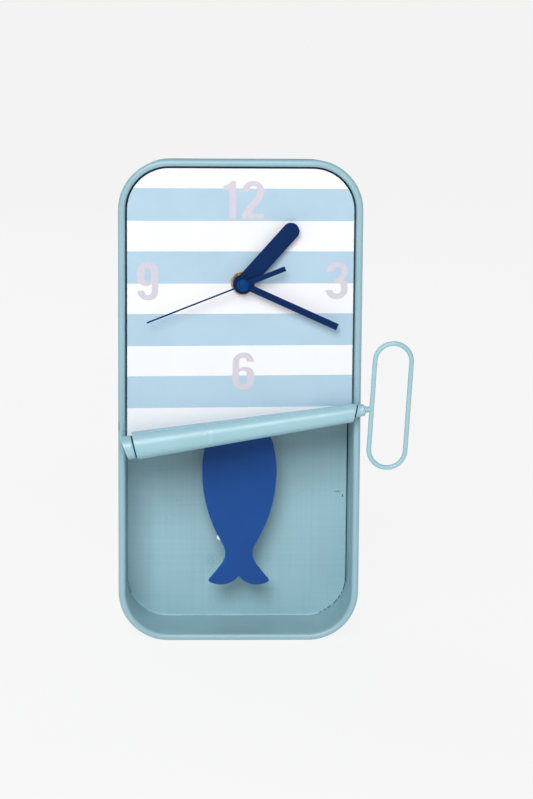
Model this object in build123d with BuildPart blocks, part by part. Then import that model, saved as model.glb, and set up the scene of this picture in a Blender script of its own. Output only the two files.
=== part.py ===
"""Wall clock shaped like an opened sardine tin, with a quartz movement and a fish-shaped pendulum.

Frame: millimetres, +X to the right and +Z up as the clock hangs, +Y into the wall.
Origin: centre of the nail hole, on the rear face of the back plate.
Positions across the clock are (x, z); positions through it are "out", the distance in front of the
back plate's rear face, so out = -Y.
"""

import os
from math import atan2, cos, degrees, isclose, pi, radians, sin, sqrt, tan

from build123d import *

os.makedirs("parts", exist_ok=True)

# ---------------------------------------------------------------- driving dimensions
# Tray
case_height = 310.0
case_width = 154.0
case_depth = 48.6            # wall to the front of the rim
case_corner_radius = 32.0    # outside of the rim
sheet = 0.8                  # steel sheet of the tray, the plates and the lid
rim_radius = 2.25            # outward curl at the front edge
rim_curl_angle = 290.0       # how far the edge is curled round
flange_width = 6.0           # turned-in rear flange that carries the back plate
flange_bend_radius = 1.6     # outside of the bend between wall and flange
back_plate_gap = 0.8         # between the back plate's edge and the wall

# Hanging and access holes in the back plate
hanger_drop = 26.0           # top of the case to the centre of the nail hole
nail_hole_radius = 4.5
nail_slot_width = 4.4
nail_slot_length = 9.0       # from the centre of the nail hole to the top of the slot
access_width = 66.0
access_corner_radius = 6.0
access_margin = 4.0          # round the movement
drain_hole_radius = 2.0
drain_hole_x = -11.2
drain_hole_above_bottom = 57.5

# Dial
hub_x = 1.5                  # the hands stand a little right of the middle
hub_drop = 78.0              # top of the case to the hand shaft
dial_recess = 2.0            # front of the dial behind the front of the rim
dial_gap = 1.2               # between the dial's edge and the wall
neck_clearance = 0.2
post_radius = 3.0
post_inset_x = 17.0          # post axis from the dial's side edges
post_inset_z = 15.0          # post axis from the dial's top and bottom edges
screw_radius = 1.5
screw_fit = 0.05
screw_length = 9.0
screw_tip_gap = 0.5          # from a screw's tip to the end of its hole
screw_head_radius = 3.4
screw_head_height = 0.6
screw_cross_width = 0.8
screw_cross_length = 5.1

# Rolled lid, from its left end to its right end, with heights from the middle of the case
lid_left_inset = 6.1         # left end short of the wall's inner face
lid_right_overhang = 0.1     # right end past the wall's inner face
lid_left_z = -25.15
lid_right_z = -4.5
lid_left_radius = 8.95
lid_right_radius = 5.7
lid_gap = 0.3                # back of the roll in front of the rim
lid_left_slant = 5.4         # degrees off square, the upper edge sticking out
lid_right_slant = 19.0
lid_turn_gap = 0.65          # outer turn to the inner turns, at the left end
core_drop_left = 0.6         # inner turns lie low at the left end
core_rise_right = 0.9        # and high at the right end
core_right_radius = 3.9
core_left_overhang = 6.5     # at the middle of its slanted end
core_end_slant = 12.5        # degrees off square, the upper edge sticking out
core_right_overhang = 6.5
core_nose_taper = 0.6
core_plug_length = 9.0
saddle_length = 14.0
saddle_width = 7.0
saddle_inset = 26.0          # saddle centre from each end of the roll
saddle_wrap = 1.0            # how far the saddles reach up round the roll

# Key
key_shank_radius = 1.9
key_fit = 0.05
key_wire_radius = 1.5
key_loop_width = 23.2        # between the wire's centre lines
key_loop_length = 82.9       # over the wire
key_loop_lean = 12.3         # degrees from square to the shank
key_reach = 4.5              # collar to the middle of the near wire
key_head_radius = 2.6
key_head_length = 1.2
key_head_chamfer = 0.4
neck_taper = 2.0             # where the shank narrows to the wire
neck_tip_radius = 1.4

# Movement
movement_width = 58.0
movement_top = 28.0          # above the hand shaft
movement_bottom = 80.0       # below the hand shaft
movement_foot_width = 42.0   # lower, narrower part that holds the pendulum drive
movement_shoulder = 46.0     # where it narrows, below the hand shaft
movement_wall = 1.5
movement_corner = 4.0
gasket_thickness = 1.2
gasket_radius = 9.0
neck_radius = 4.0
neck_length = 5.8            # in front of the movement
neck_chamfer = 0.4
washer_radius = 7.5
washer_thickness = 0.8
nut_flats = 10.5
nut_thickness = 2.4

# Coaxial shafts at the hub
second_shaft_radius = 0.5
minute_pipe_radius = 1.6
hour_pipe_radius = 2.55
shaft_fit = 0.08
hour_pipe_reach = 2.3        # in front of the neck
minute_pipe_reach = 2.1      # in front of the hour pipe
second_shaft_reach = 1.3     # in front of the minute pipe

# Hands
hand_thickness = 0.6
hour_hand_width = 10.7
hour_hand_length = 45.0      # to the centre of its round end
hour_hand_hub_radius = 6.3
minute_hand_width = 4.3
minute_hand_length = 65.4
minute_hand_hub_radius = 4.8
second_hand_width = 0.9
second_hand_length = 65.0
second_tail_width = 3.2
second_tail_length = 28.5
second_hand_hub_radius = 2.2
second_hand_thickness = 0.4
cap_radius = 3.8
cap_height = 1.8
cap_rounding = 0.8
hour_pipe_tip = 0.7          # pipe in front of the hour hand
minute_pipe_tip = 0.6
second_hand_gap = 0.7        # in front of the minute pipe
hour_angle = 41.6            # clockwise from twelve, as the clock is stored
minute_angle = 114.2
second_angle = 248.3

# Gear train: teeth, layers and centre distances
rotor_teeth = 8
intermediate_teeth = 48
intermediate_pinion_teeth = 12
second_teeth = 60
second_pinion_teeth = 8
third_teeth = 64
third_pinion_teeth = 8
centre_teeth = 60
cannon_teeth = 12
motion_teeth = 36
motion_pinion_teeth = 10
hour_teeth = 40
knob_teeth = 12
rotor_distance = 8.4
intermediate_distance = 10.8
third_distance = 10.8
cannon_wall = 0.045          # root of the cannon pinion's teeth above its pipe
tooth_depth = 1.3            # root of a tooth inside the pitch circle, in modules
tooth_height = 0.85          # tip of a tooth outside the pitch circle, in modules
tooth_thickness = 0.38       # of a tooth on the pitch circle, in half pitches
tooth_tip_thickness = 0.14   # the same at its tip
tooth_sink = 0.2             # of a tooth's foot in the wheel, in modules
third_direction = 0.0        # degrees anticlockwise from +X, seen from the front
intermediate_direction = 150.0
rotor_direction = 180.0      # from the intermediate wheel
motion_direction = -90.0
knob_direction = -135.0      # from the motion wheel
wheel_thickness = 0.8
pinion_length = 1.2
layer_gap = 0.2
train_pin_radius = 0.4
train_fit = 0.05
pin_press = 1.0              # length of a pin in the movement's front
pin_tail = 0.5               # length of a pin behind its wheel
wheel_hub_wall = 0.3
second_pinion_relief = 0.1
second_tail = 0.6            # seconds shaft behind its wheel
second_hub_wall = 0.3
clutch_gap = 0.1
clutch_flange = 0.4
clutch_flange_width = 0.8
lightening_holes = 4
lightening_distance = 6.0
lightening_start = 45.0      # degrees
lightening_radius = 1.9
rotor_hub_radius = 1.0
rotor_hub_length = 0.4
magnet_rotor_radius = 3.0
magnet_rotor_length = 3.0

# Setting knob on the back
knob_shaft_radius = 1.0
knob_radius = 6.0
knob_thickness = 3.0
knob_gap = 0.3
knob_grooves = 18
knob_groove_radius = 0.45

# Stepping motor and circuit board
stator_bore = 3.6
stator_thickness = 1.0
stator_leg_width = 5.0
stator_end_height = 10.0     # of the part round the rotor
stator_left_reach = 7.0      # from the rotor
stator_right = 12.0          # from the hand shaft
core_level = 21.0            # coil axis above the hand shaft
coil_core_thickness = 1.0
coil_core_width = 4.0
coil_core_fit = 0.05
winding_radius = 3.2
cheek_radius = 3.5
cheek_thickness = 0.8
coil_end_gap = 0.5
board_width = 12.5
board_height = 40.0
board_thickness = 1.0
board_gap = 0.5              # from the movement's wall
board_rise = 4.0             # of its middle above the hand shaft

# Battery, size AA
battery_radius = 7.1
battery_length = 49.0
battery_nub_radius = 2.75
battery_nub_length = 1.4
battery_drop = 30.0          # below the hand shaft
battery_bay_gap = 0.7
battery_depth_gap = 0.65     # battery to the front plate and to the cover
contact_thickness = 0.5
contact_size = 10.0
contact_corner = 1.5
contact_spring_gap = 0.6     # behind each contact
battery_edge_rounding = 0.6
bay_wall = 1.0
bay_corner = 1.5

# Pendulum drive and pendulum
pivot_drop = 42.0            # below the hand shaft
pivot_shift = -0.8           # the pendulum hangs a little left of the hand shaft
pivot_radius = 1.0
pivot_fit = 0.05
pivot_head_radius = 1.9
pivot_head_height = 0.8
arm_width = 6.0
arm_length = 28.0
arm_thickness = 1.5
arm_hub_radius = 3.5
arm_eye_margin = 0.5
arm_gap = 1.0                # behind the movement's cover
arm_hub_gap = 0.4
arm_hub_rise = 0.3
pivot_head_gap = 0.2
magnet_radius = 4.5
magnet_thickness = 2.3
magnet_wall = 1.2
magnet_proud = 0.4
magnet_drop = 24.0           # below the pivot
peg_drop = 14.0              # below the pivot
peg_radius = 1.0
peg_tip = 0.5                # behind the rod
rod_width = 4.0
rod_thickness = 0.8
rod_eye_margin = 0.4
rod_overlap = 26.0           # length soldered to the back of the fish
coil_outer_radius = 6.5
coil_inner_radius = 2.0
coil_height = 7.5
coil_cover_gap = 0.4         # from the movement's cover
fish_gap = 0.2               # behind the arm
fish_thickness = 1.0
fish_half_width = 24.1
fish_widest_drop = 83.5      # widest place below the pivot
fish_head_arc = 66.0
fish_body_arc = 94.0
fish_nose_rounding = 7.0
fish_body_end = 48.5         # all below the widest place
fish_tail_start = (11.4, -61.9)
fish_tail_tip = (20.4, -72.9)
fish_tail_bottom = (13.0, -75.6)
fish_notch = (0.0, -69.9)
fish_tip_rounding = 1.5

# ---------------------------------------------------------------- derived places
case_top_z = hanger_drop
case_mid_z = hanger_drop - case_height / 2
case_bottom_z = hanger_drop - case_height
hub_z = case_top_z - hub_drop
rim_out = case_depth - sheet
wall_inset = 2 * rim_radius              # inner face of the wall from the rim's outer edge
inner_half_width = case_width / 2 - wall_inset
inner_half_height = case_height / 2 - wall_inset
inner_corner = case_corner_radius - wall_inset
dial_front_out = rim_out - dial_recess
movement_depth = 2 * (battery_radius + battery_depth_gap + movement_wall)
dial_back_out = dial_front_out - sheet
movement_front_out = dial_back_out - gasket_thickness
movement_rear_out = movement_front_out - movement_depth
plate_inner_out = movement_front_out - movement_wall
cover_front_out = movement_rear_out + movement_wall
neck_front_out = movement_front_out + neck_length
hour_pipe_end = neck_front_out + hour_pipe_reach
minute_pipe_end = hour_pipe_end + minute_pipe_reach
second_shaft_end = minute_pipe_end + second_shaft_reach

# Layers of the train, each the rear face of its wheel
hour_layer = plate_inner_out - layer_gap - wheel_thickness - layer_gap
motion_layer = hour_layer - layer_gap - wheel_thickness
centre_layer = motion_layer - 2.5 * layer_gap - wheel_thickness
third_layer = centre_layer - 4 * layer_gap - wheel_thickness
second_layer = third_layer - 3 * layer_gap - wheel_thickness
intermediate_layer = second_layer - 3 * layer_gap - wheel_thickness
cannon_module = (minute_pipe_radius + cannon_wall) / (cannon_teeth / 2 - tooth_depth)
motion_distance = cannon_module * (cannon_teeth + motion_teeth) / 2


def plane_at(out, x=0.0, z=0.0):
    """Plane facing the viewer, with local x to the right and local y up."""
    return Plane(origin=(x, -out, z), x_dir=(1, 0, 0), z_dir=(0, -1, 0))


def beside(x, z, distance, direction):
    """Point at a distance and direction, in degrees anticlockwise from +X."""
    return (x + distance * cos(radians(direction)), z + distance * sin(radians(direction)))


def plane_along(origin, direction):
    """Plane facing the viewer whose local x runs exactly along a direction."""
    return Plane(origin=origin, x_dir=direction, z_dir=direction.cross(Vector(0, 0, 1)))


def finish(part, name):
    """Labels one piece and writes it."""
    part.label = name
    export_step(part, f"parts/{name}.step")


# ---------------------------------------------------------------- tray
curl_outer = rim_radius
curl_inner = rim_radius - sheet
curl_level = rim_out - rim_radius
wall_outer_inset = wall_inset - sheet
flange_end_inset = wall_inset + flange_width
bend_inner = flange_bend_radius - sheet

section_plane = Plane(origin=(-case_width / 2, 0, case_mid_z), x_dir=(1, 0, 0), z_dir=(0, 0, -1))
half_w = case_width / 2
half_h = case_height / 2

with BuildPart() as case_wall:
    with BuildLine(plane_at(0, 0, case_mid_z)) as rim_path:
        for side in (1, -1):
            FilletPolyline(
                (-side * half_w, 0),
                (-side * half_w, side * half_h),
                (side * half_w, side * half_h),
                (side * half_w, 0),
                radius=case_corner_radius,
            )
    with BuildSketch(section_plane) as wall_section:
        with BuildLine():
            end_angle = radians(rim_curl_angle)
            outer_end = (rim_radius + curl_outer * cos(end_angle), curl_level + curl_outer * sin(end_angle))
            inner_end = (rim_radius + curl_inner * cos(end_angle), curl_level + curl_inner * sin(end_angle))
            Line((flange_end_inset, 0), (wall_inset + bend_inner, 0))
            TangentArc(
                (wall_inset + bend_inner, 0),
                (wall_inset, bend_inner),
                tangent=(-1, 0),
            )
            Line((wall_inset, bend_inner), (wall_inset, curl_level))
            CenterArc((rim_radius, curl_level), curl_outer, 0, rim_curl_angle)
            Line(outer_end, inner_end)
            CenterArc((rim_radius, curl_level), curl_inner, 0, rim_curl_angle)
            Line((wall_outer_inset, curl_level), (wall_outer_inset, flange_bend_radius - sheet))
            TangentArc(
                (wall_outer_inset, flange_bend_radius - sheet),
                (wall_outer_inset + flange_bend_radius, -sheet),
                tangent=(0, -1),
            )
            Line((wall_outer_inset + flange_bend_radius, -sheet), (flange_end_inset, -sheet))
            Line((flange_end_inset, -sheet), (flange_end_inset, 0))
        make_face()
    sweep(path=rim_path.wire())
finish(case_wall.part, "case_wall")

movement_mid_z = hub_z + (movement_top - movement_bottom) / 2
movement_height = movement_top + movement_bottom
dial_half_width = inner_half_width - dial_gap
dial_top_z = case_mid_z + inner_half_height - dial_gap
lid_left_x = lid_left_inset - inner_half_width
lid_right_x = inner_half_width + lid_right_overhang
lid_slope = (lid_right_z - lid_left_z) / (lid_right_x - lid_left_x)
dial_low_left = case_mid_z + lid_left_z + lid_slope * (-dial_half_width - lid_left_x)
dial_low_right = case_mid_z + lid_left_z + lid_slope * (dial_half_width - lid_left_x)
post_x = dial_half_width - post_inset_x
post_spots = [
    (-post_x, dial_top_z - post_inset_z),
    (post_x, dial_top_z - post_inset_z),
    (-post_x, dial_low_left + post_inset_z),
    (post_x, dial_low_right + post_inset_z),
]

with BuildPart() as back_plate:
    with BuildSketch(plane_at(0, 0, case_mid_z)):
        RectangleRounded(
            2 * (inner_half_width - back_plate_gap),
            2 * (inner_half_height - back_plate_gap),
            inner_corner - back_plate_gap,
        )
    extrude(amount=sheet)
    with BuildSketch(plane_at(0)):
        Circle(nail_hole_radius)
        with Locations((0, nail_slot_length / 2)):
            Rectangle(nail_slot_width, nail_slot_length - nail_slot_width)
        with Locations((0, nail_slot_length - nail_slot_width / 2)):
            Circle(nail_slot_width / 2)
        with Locations((0, nail_slot_length / 4)):
            Rectangle(nail_slot_width, nail_slot_length / 2)
        with Locations((hub_x, movement_mid_z)):
            RectangleRounded(access_width, movement_height + 2 * access_margin, access_corner_radius)
        with Locations((drain_hole_x, case_bottom_z + drain_hole_above_bottom)):
            Circle(drain_hole_radius)
        with Locations(*post_spots):
            Circle(screw_radius + screw_fit)
    extrude(amount=sheet, mode=Mode.SUBTRACT)
finish(back_plate.part, "back_plate")

# ---------------------------------------------------------------- dial plate and what holds it
with BuildPart() as dial_plate:
    with BuildSketch(plane_at(dial_back_out)) as dial_outline:
        with BuildLine():
            Polyline(
                (-dial_half_width, dial_low_left),
                (-dial_half_width, dial_top_z),
                (dial_half_width, dial_top_z),
                (dial_half_width, dial_low_right),
                close=True,
            )
        make_face()
        fillet(dial_outline.vertices().sort_by(Axis.Y)[-2:], radius=inner_corner - dial_gap)
        with Locations((hub_x, hub_z)):
            Circle(neck_radius + neck_clearance, mode=Mode.SUBTRACT)
    extrude(amount=sheet)
finish(dial_plate.part, "dial_plate")

with BuildPart() as dial_posts:
    with BuildSketch(plane_at(sheet)):
        with Locations(*post_spots):
            Circle(post_radius)
    extrude(amount=dial_back_out - sheet)
    with BuildSketch(plane_at(sheet)):
        with Locations(*post_spots):
            Circle(screw_radius + screw_fit)
    extrude(amount=screw_length, mode=Mode.SUBTRACT)
finish(dial_posts.part, "dial_posts")

with BuildPart() as back_screws:
    with BuildSketch(plane_at(0)):
        with Locations(*post_spots):
            Circle(screw_head_radius)
    extrude(amount=-screw_head_height)
    with BuildSketch(plane_at(0)):
        with Locations(*post_spots):
            Circle(screw_radius)
    extrude(amount=screw_length - screw_tip_gap)
    with BuildSketch(plane_at(-screw_head_height)):
        with Locations(*post_spots):
            Rectangle(screw_cross_width, screw_cross_length)
            Rectangle(screw_cross_length, screw_cross_width)
    extrude(amount=screw_head_height / 2, mode=Mode.SUBTRACT)
finish(back_screws.part, "back_screws")

# ---------------------------------------------------------------- rolled lid
lid_left = Vector(lid_left_x, -(rim_out + lid_gap + lid_left_radius), case_mid_z + lid_left_z)
lid_right = Vector(lid_right_x, -(rim_out + lid_gap + lid_right_radius), case_mid_z + lid_right_z)
lid_length = (lid_right - lid_left).length
lid_plane = plane_along(lid_left, lid_right - lid_left)
lid_axis = Axis(lid_left, lid_right - lid_left)


def lid_radius(station):
    """Outside radius of the outer turn at a distance from its left end."""
    return lid_left_radius + (lid_right_radius - lid_left_radius) * station / lid_length


def end_plane(frame, station, turn):
    """Plane across a roll at a station on its axis, turned anticlockwise off square by some degrees."""
    turned = Plane(frame.location * Location((station, 0, 0), (0, 0, turn)))
    return Plane(origin=turned.origin, x_dir=turned.y_dir, z_dir=turned.x_dir)


lid_start = -lid_left_radius             # spare length that the slanted ends are cut from
lid_end = lid_length + lid_right_radius
with BuildPart() as rolled_lid:
    with BuildSketch(lid_plane):
        Polygon(
            (lid_start, lid_radius(lid_start) - sheet),
            (lid_end, lid_radius(lid_end) - sheet),
            (lid_end, lid_radius(lid_end)),
            (lid_start, lid_radius(lid_start)),
            align=None,
        )
    revolve(axis=lid_axis)
    split(bisect_by=end_plane(lid_plane, 0, lid_left_slant), keep=Keep.TOP)
    split(bisect_by=end_plane(lid_plane, lid_length, -lid_right_slant), keep=Keep.BOTTOM)
finish(rolled_lid.part, "rolled_lid")

core_left = lid_left + Vector(0, 0, -core_drop_left)
core_right = lid_right + Vector(0, 0, core_rise_right)
core_length = (core_right - core_left).length
core_left_radius = lid_left_radius - sheet - lid_turn_gap
core_taper = (core_left_radius - core_right_radius) / core_length
core_plane = plane_along(core_left, core_right - core_left)
core_axis = Axis(core_left, core_right - core_left)
core_total = core_length + core_right_overhang
core_direction = (core_right - core_left).normalized()


def core_radius(station):
    """Outside radius of the inner turns at a distance from their reference end."""
    return core_left_radius - core_taper * station


core_start = -core_left_overhang - core_left_radius
plug_start = core_total - core_plug_length
with BuildPart() as lid_core:
    with BuildSketch(core_plane):
        with BuildLine():
            Polyline(
                (core_start, core_radius(core_start) - sheet),
                (plug_start, core_radius(plug_start) - sheet),
                (plug_start, key_shank_radius + key_fit),
                (core_total, key_shank_radius + key_fit),
                (core_total, core_radius(core_total) - core_nose_taper),
                (core_total - core_nose_taper, core_radius(core_total)),
                (core_start, core_radius(core_start)),
                close=True,
            )
        make_face()
    revolve(axis=core_axis)
    split(bisect_by=end_plane(core_plane, -core_left_overhang, core_end_slant), keep=Keep.TOP)
finish(lid_core.part, "lid_core")

with BuildPart() as lid_saddles:
    for station in (saddle_inset, lid_length - saddle_inset):
        spot = lid_left + (lid_right - lid_left) * (station / lid_length)
        with BuildSketch(plane_at(dial_front_out, spot.X, spot.Z)):
            Rectangle(saddle_length, saddle_width, rotation=degrees(atan2(lid_slope, 1)))
        extrude(amount=rim_out + lid_gap - dial_front_out + saddle_wrap)
    with BuildSketch(lid_plane):
        Polygon((0, 0), (lid_length, 0), (lid_length, lid_right_radius), (0, lid_left_radius), align=None)
    revolve(axis=lid_axis, mode=Mode.SUBTRACT)
finish(lid_saddles.part, "lid_saddles")

# ---------------------------------------------------------------- key
key_origin = core_left + core_direction * core_total
key_plane = plane_along(key_origin, core_direction)
key_axis = Axis(key_origin, core_direction)
loop_reach = key_reach + key_loop_width / 2 / cos(radians(key_loop_lean))
loop_plane = Plane(key_plane.location * Location((loop_reach, 0, 0), (0, 0, -key_loop_lean)))
loop_half = key_loop_width / 2
loop_straight = (key_loop_length - 2 * key_wire_radius - key_loop_width) / 2
with BuildPart() as key:
    with BuildLine(loop_plane) as loop_path:
        Line((-loop_half, -loop_straight), (-loop_half, loop_straight))
        CenterArc((0, loop_straight), loop_half, 180, -180)
        Line((loop_half, loop_straight), (loop_half, -loop_straight))
        CenterArc((0, -loop_straight), loop_half, 0, -180)
    with BuildSketch(Plane(origin=loop_path.line @ 0, z_dir=loop_path.line % 0)):
        Circle(key_wire_radius)
    sweep(path=loop_path.line)
    with BuildSketch(key_plane):
        with BuildLine():
            head_end = -core_plug_length - key_fit
            Polyline(
                (head_end - key_head_length, 0),
                (head_end - key_head_length, key_head_radius - key_head_chamfer),
                (head_end - key_head_length + key_head_chamfer, key_head_radius),
                (head_end, key_head_radius),
                (head_end, key_shank_radius),
                (key_reach - neck_taper, key_shank_radius),
                (key_reach, neck_tip_radius),
                (key_reach, 0),
                close=True,
            )
        make_face()
    revolve(axis=key_axis)
finish(key.part, "key")


# ---------------------------------------------------------------- toothed wheels
def toothed_outline(teeth, module, phase):
    """Clock-style teeth: radial flanks up to the pitch circle, tapered tips, generous backlash."""
    pitch = module * teeth / 2
    root = pitch - tooth_depth * module
    tip = pitch + tooth_height * module
    foot = root - tooth_sink * module
    half_pitch = tooth_thickness * pi * module / 2
    half_tip = tooth_tip_thickness * pi * module / 2
    half_foot = half_pitch * foot / pitch
    Circle(root)
    with PolarLocations(0, teeth, start_angle=phase):
        Polygon(
            (foot, -half_foot),
            (pitch, -half_pitch),
            (tip, -half_tip),
            (tip, half_tip),
            (pitch, half_pitch),
            (foot, half_foot),
            align=None,
        )


def mesh_module(distance, teeth_a, teeth_b):
    """Module that puts two wheels in mesh at their centre distance."""
    return 2 * distance / (teeth_a + teeth_b)


def mating_phase(phase, teeth, direction, mate_teeth):
    """Phase of the mate, lying in a direction from a wheel, that puts its gaps on the wheel's teeth."""
    into_tooth = (direction - phase) * teeth / 360
    return direction + 180 - (0.5 - into_tooth) * 360 / mate_teeth


hub = (hub_x, hub_z)
third_at = beside(*hub, third_distance, third_direction)
intermediate_at = beside(*hub, intermediate_distance, intermediate_direction)
rotor_at = beside(*intermediate_at, rotor_distance, rotor_direction)
motion_at = beside(*hub, motion_distance, motion_direction)
knob_at = beside(*motion_at, motion_distance, knob_direction)

rotor_module = mesh_module(rotor_distance, rotor_teeth, intermediate_teeth)
intermediate_module = mesh_module(intermediate_distance, intermediate_pinion_teeth, second_teeth)
second_module = mesh_module(third_distance, second_pinion_teeth, third_teeth)
third_module = mesh_module(third_distance, third_pinion_teeth, centre_teeth)
hour_module = mesh_module(motion_distance, motion_pinion_teeth, hour_teeth)
motion_phase = mating_phase(motion_direction, cannon_teeth, motion_direction, motion_teeth)

pinion_margin = (pinion_length - wheel_thickness) / 2

# Rotor: pinion, hub and magnet on one moulding
rotor_pinion_rear = intermediate_layer - pinion_margin
magnet_front = rotor_pinion_rear - rotor_hub_length
with BuildPart() as rotor:
    with BuildSketch(plane_at(rotor_pinion_rear, *rotor_at)):
        toothed_outline(rotor_teeth, rotor_module, rotor_direction)
    extrude(amount=pinion_length)
    with BuildSketch(plane_at(magnet_front, *rotor_at)):
        Circle(rotor_hub_radius)
    extrude(amount=rotor_hub_length)
    with BuildSketch(plane_at(magnet_front - magnet_rotor_length, *rotor_at)):
        Circle(magnet_rotor_radius)
    extrude(amount=magnet_rotor_length)
    with BuildSketch(plane_at(magnet_front - magnet_rotor_length, *rotor_at)):
        Circle(train_pin_radius + train_fit)
    extrude(amount=magnet_rotor_length + rotor_hub_length + pinion_length, mode=Mode.SUBTRACT)
finish(rotor.part, "rotor")

train_bore = train_pin_radius + train_fit


def compound_wheel(at, wheel, pinion, bore):
    """Wheel and pinion on one hub, each given as (rear face, length, teeth, module, phase)."""
    with BuildPart() as body:
        for rear, length, teeth, module, phase in (wheel, pinion):
            with BuildSketch(plane_at(rear, *at)):
                toothed_outline(teeth, module, phase)
            extrude(amount=length)
        low = min(wheel[0], pinion[0])
        high = max(wheel[0] + wheel[1], pinion[0] + pinion[1])
        with BuildSketch(plane_at(low, *at)):
            Circle(train_bore + wheel_hub_wall)
        extrude(amount=high - low)
        with BuildSketch(plane_at(low, *at)):
            Circle(bore)
        extrude(amount=high - low, mode=Mode.SUBTRACT)
    return body


intermediate_wheel = compound_wheel(
    intermediate_at,
    (intermediate_layer, wheel_thickness, intermediate_teeth, rotor_module,
     mating_phase(rotor_direction, rotor_teeth, rotor_direction + 180, intermediate_teeth)),
    (second_layer - pinion_margin, pinion_length, intermediate_pinion_teeth, intermediate_module,
     intermediate_direction),
    train_bore,
)
finish(intermediate_wheel.part, "intermediate_wheel")

third_wheel = compound_wheel(
    third_at,
    (third_layer, wheel_thickness, third_teeth, second_module,
     mating_phase(third_direction, second_pinion_teeth, third_direction, third_teeth)),
    (centre_layer - pinion_margin, pinion_length, third_pinion_teeth, third_module, third_direction),
    train_bore,
)
finish(third_wheel.part, "third_wheel")

motion_wheel = compound_wheel(
    motion_at,
    (motion_layer, wheel_thickness, motion_teeth, cannon_module, motion_phase),
    (hour_layer, wheel_thickness, motion_pinion_teeth, hour_module, motion_direction),
    train_bore,
)
finish(motion_wheel.part, "motion_wheel")

second_pinion_rear = third_layer - pinion_margin
with BuildPart() as second_wheel:
    with BuildSketch(plane_at(second_layer, *hub)):
        second_phase = mating_phase(
            intermediate_direction, intermediate_pinion_teeth, intermediate_direction + 180, second_teeth
        )
        toothed_outline(second_teeth, intermediate_module, second_phase)
    extrude(amount=wheel_thickness)
    with BuildSketch(plane_at(second_pinion_rear, *hub)):
        toothed_outline(second_pinion_teeth, second_module, third_direction)
    extrude(amount=pinion_length - second_pinion_relief)
    with BuildSketch(plane_at(second_layer - second_tail, *hub)):
        Circle(second_shaft_radius)
    extrude(amount=second_shaft_end - second_layer + second_tail)
    with BuildSketch(plane_at(second_layer, *hub)):
        Circle(second_shaft_radius + second_hub_wall)
    extrude(amount=second_pinion_rear - second_layer)
finish(second_wheel.part, "second_wheel")

minute_pipe_rear = centre_layer - clutch_gap - clutch_flange
with BuildPart() as minute_pipe:
    with BuildSketch(plane_at(minute_pipe_rear, *hub)):
        Circle(minute_pipe_radius + clutch_flange_width)
    extrude(amount=clutch_flange)
    with BuildSketch(plane_at(minute_pipe_rear, *hub)):
        Circle(minute_pipe_radius)
    extrude(amount=minute_pipe_end - minute_pipe_rear)
    with BuildSketch(plane_at(motion_layer, *hub)):
        toothed_outline(cannon_teeth, cannon_module, motion_direction)
    extrude(amount=wheel_thickness)
    with BuildSketch(plane_at(minute_pipe_rear, *hub)):
        Circle(second_shaft_radius + shaft_fit)
    extrude(amount=minute_pipe_end - minute_pipe_rear, mode=Mode.SUBTRACT)
finish(minute_pipe.part, "minute_pipe")

with BuildPart() as centre_wheel:
    with BuildSketch(plane_at(centre_layer, *hub)):
        centre_phase = mating_phase(third_direction, third_pinion_teeth, third_direction + 180, centre_teeth)
        toothed_outline(centre_teeth, third_module, centre_phase)
        Circle(minute_pipe_radius + shaft_fit, mode=Mode.SUBTRACT)
        with PolarLocations(lightening_distance, lightening_holes, start_angle=lightening_start):
            Circle(lightening_radius, mode=Mode.SUBTRACT)
    extrude(amount=wheel_thickness)
finish(centre_wheel.part, "centre_wheel")

with BuildPart() as hour_wheel:
    with BuildSketch(plane_at(hour_layer, *hub)):
        hour_phase = mating_phase(motion_direction, motion_pinion_teeth, motion_direction + 180, hour_teeth)
        toothed_outline(hour_teeth, hour_module, hour_phase)
    extrude(amount=wheel_thickness)
    with BuildSketch(plane_at(hour_layer, *hub)):
        Circle(hour_pipe_radius)
    extrude(amount=hour_pipe_end - hour_layer)
    with BuildSketch(plane_at(hour_layer, *hub)):
        Circle(minute_pipe_radius + shaft_fit)
    extrude(amount=hour_pipe_end - hour_layer, mode=Mode.SUBTRACT)
finish(hour_wheel.part, "hour_wheel")

# Steel pins that the loose wheels turn on, pressed into the movement's front
pin_ends = (
    (third_at, third_layer - pin_tail),
    (intermediate_at, intermediate_layer - pin_tail),
    (rotor_at, magnet_front - magnet_rotor_length - pin_tail),
    (motion_at, motion_layer - layer_gap),
)
with BuildPart() as train_pins:
    for at, rear in pin_ends:
        with BuildSketch(plane_at(rear, *at)):
            Circle(train_pin_radius)
        extrude(amount=plate_inner_out + pin_press - rear)
finish(train_pins.part, "train_pins")

with BuildPart() as setting_knob:
    with BuildSketch(plane_at(motion_layer, *knob_at)):
        toothed_outline(
            knob_teeth, cannon_module, mating_phase(motion_phase, motion_teeth, knob_direction, knob_teeth)
        )
    extrude(amount=wheel_thickness)
    knob_front = movement_rear_out - knob_gap
    with BuildSketch(plane_at(knob_front, *knob_at)):
        Circle(knob_shaft_radius)
    extrude(amount=motion_layer - knob_front)
    with BuildSketch(plane_at(knob_front - knob_thickness, *knob_at)):
        Circle(knob_radius)
        with PolarLocations(knob_radius, knob_grooves):
            Circle(knob_groove_radius, mode=Mode.SUBTRACT)
    extrude(amount=knob_thickness)
finish(setting_knob.part, "setting_knob")

# ---------------------------------------------------------------- movement housing
foot_half = movement_foot_width / 2
body_half = movement_width / 2


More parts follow.
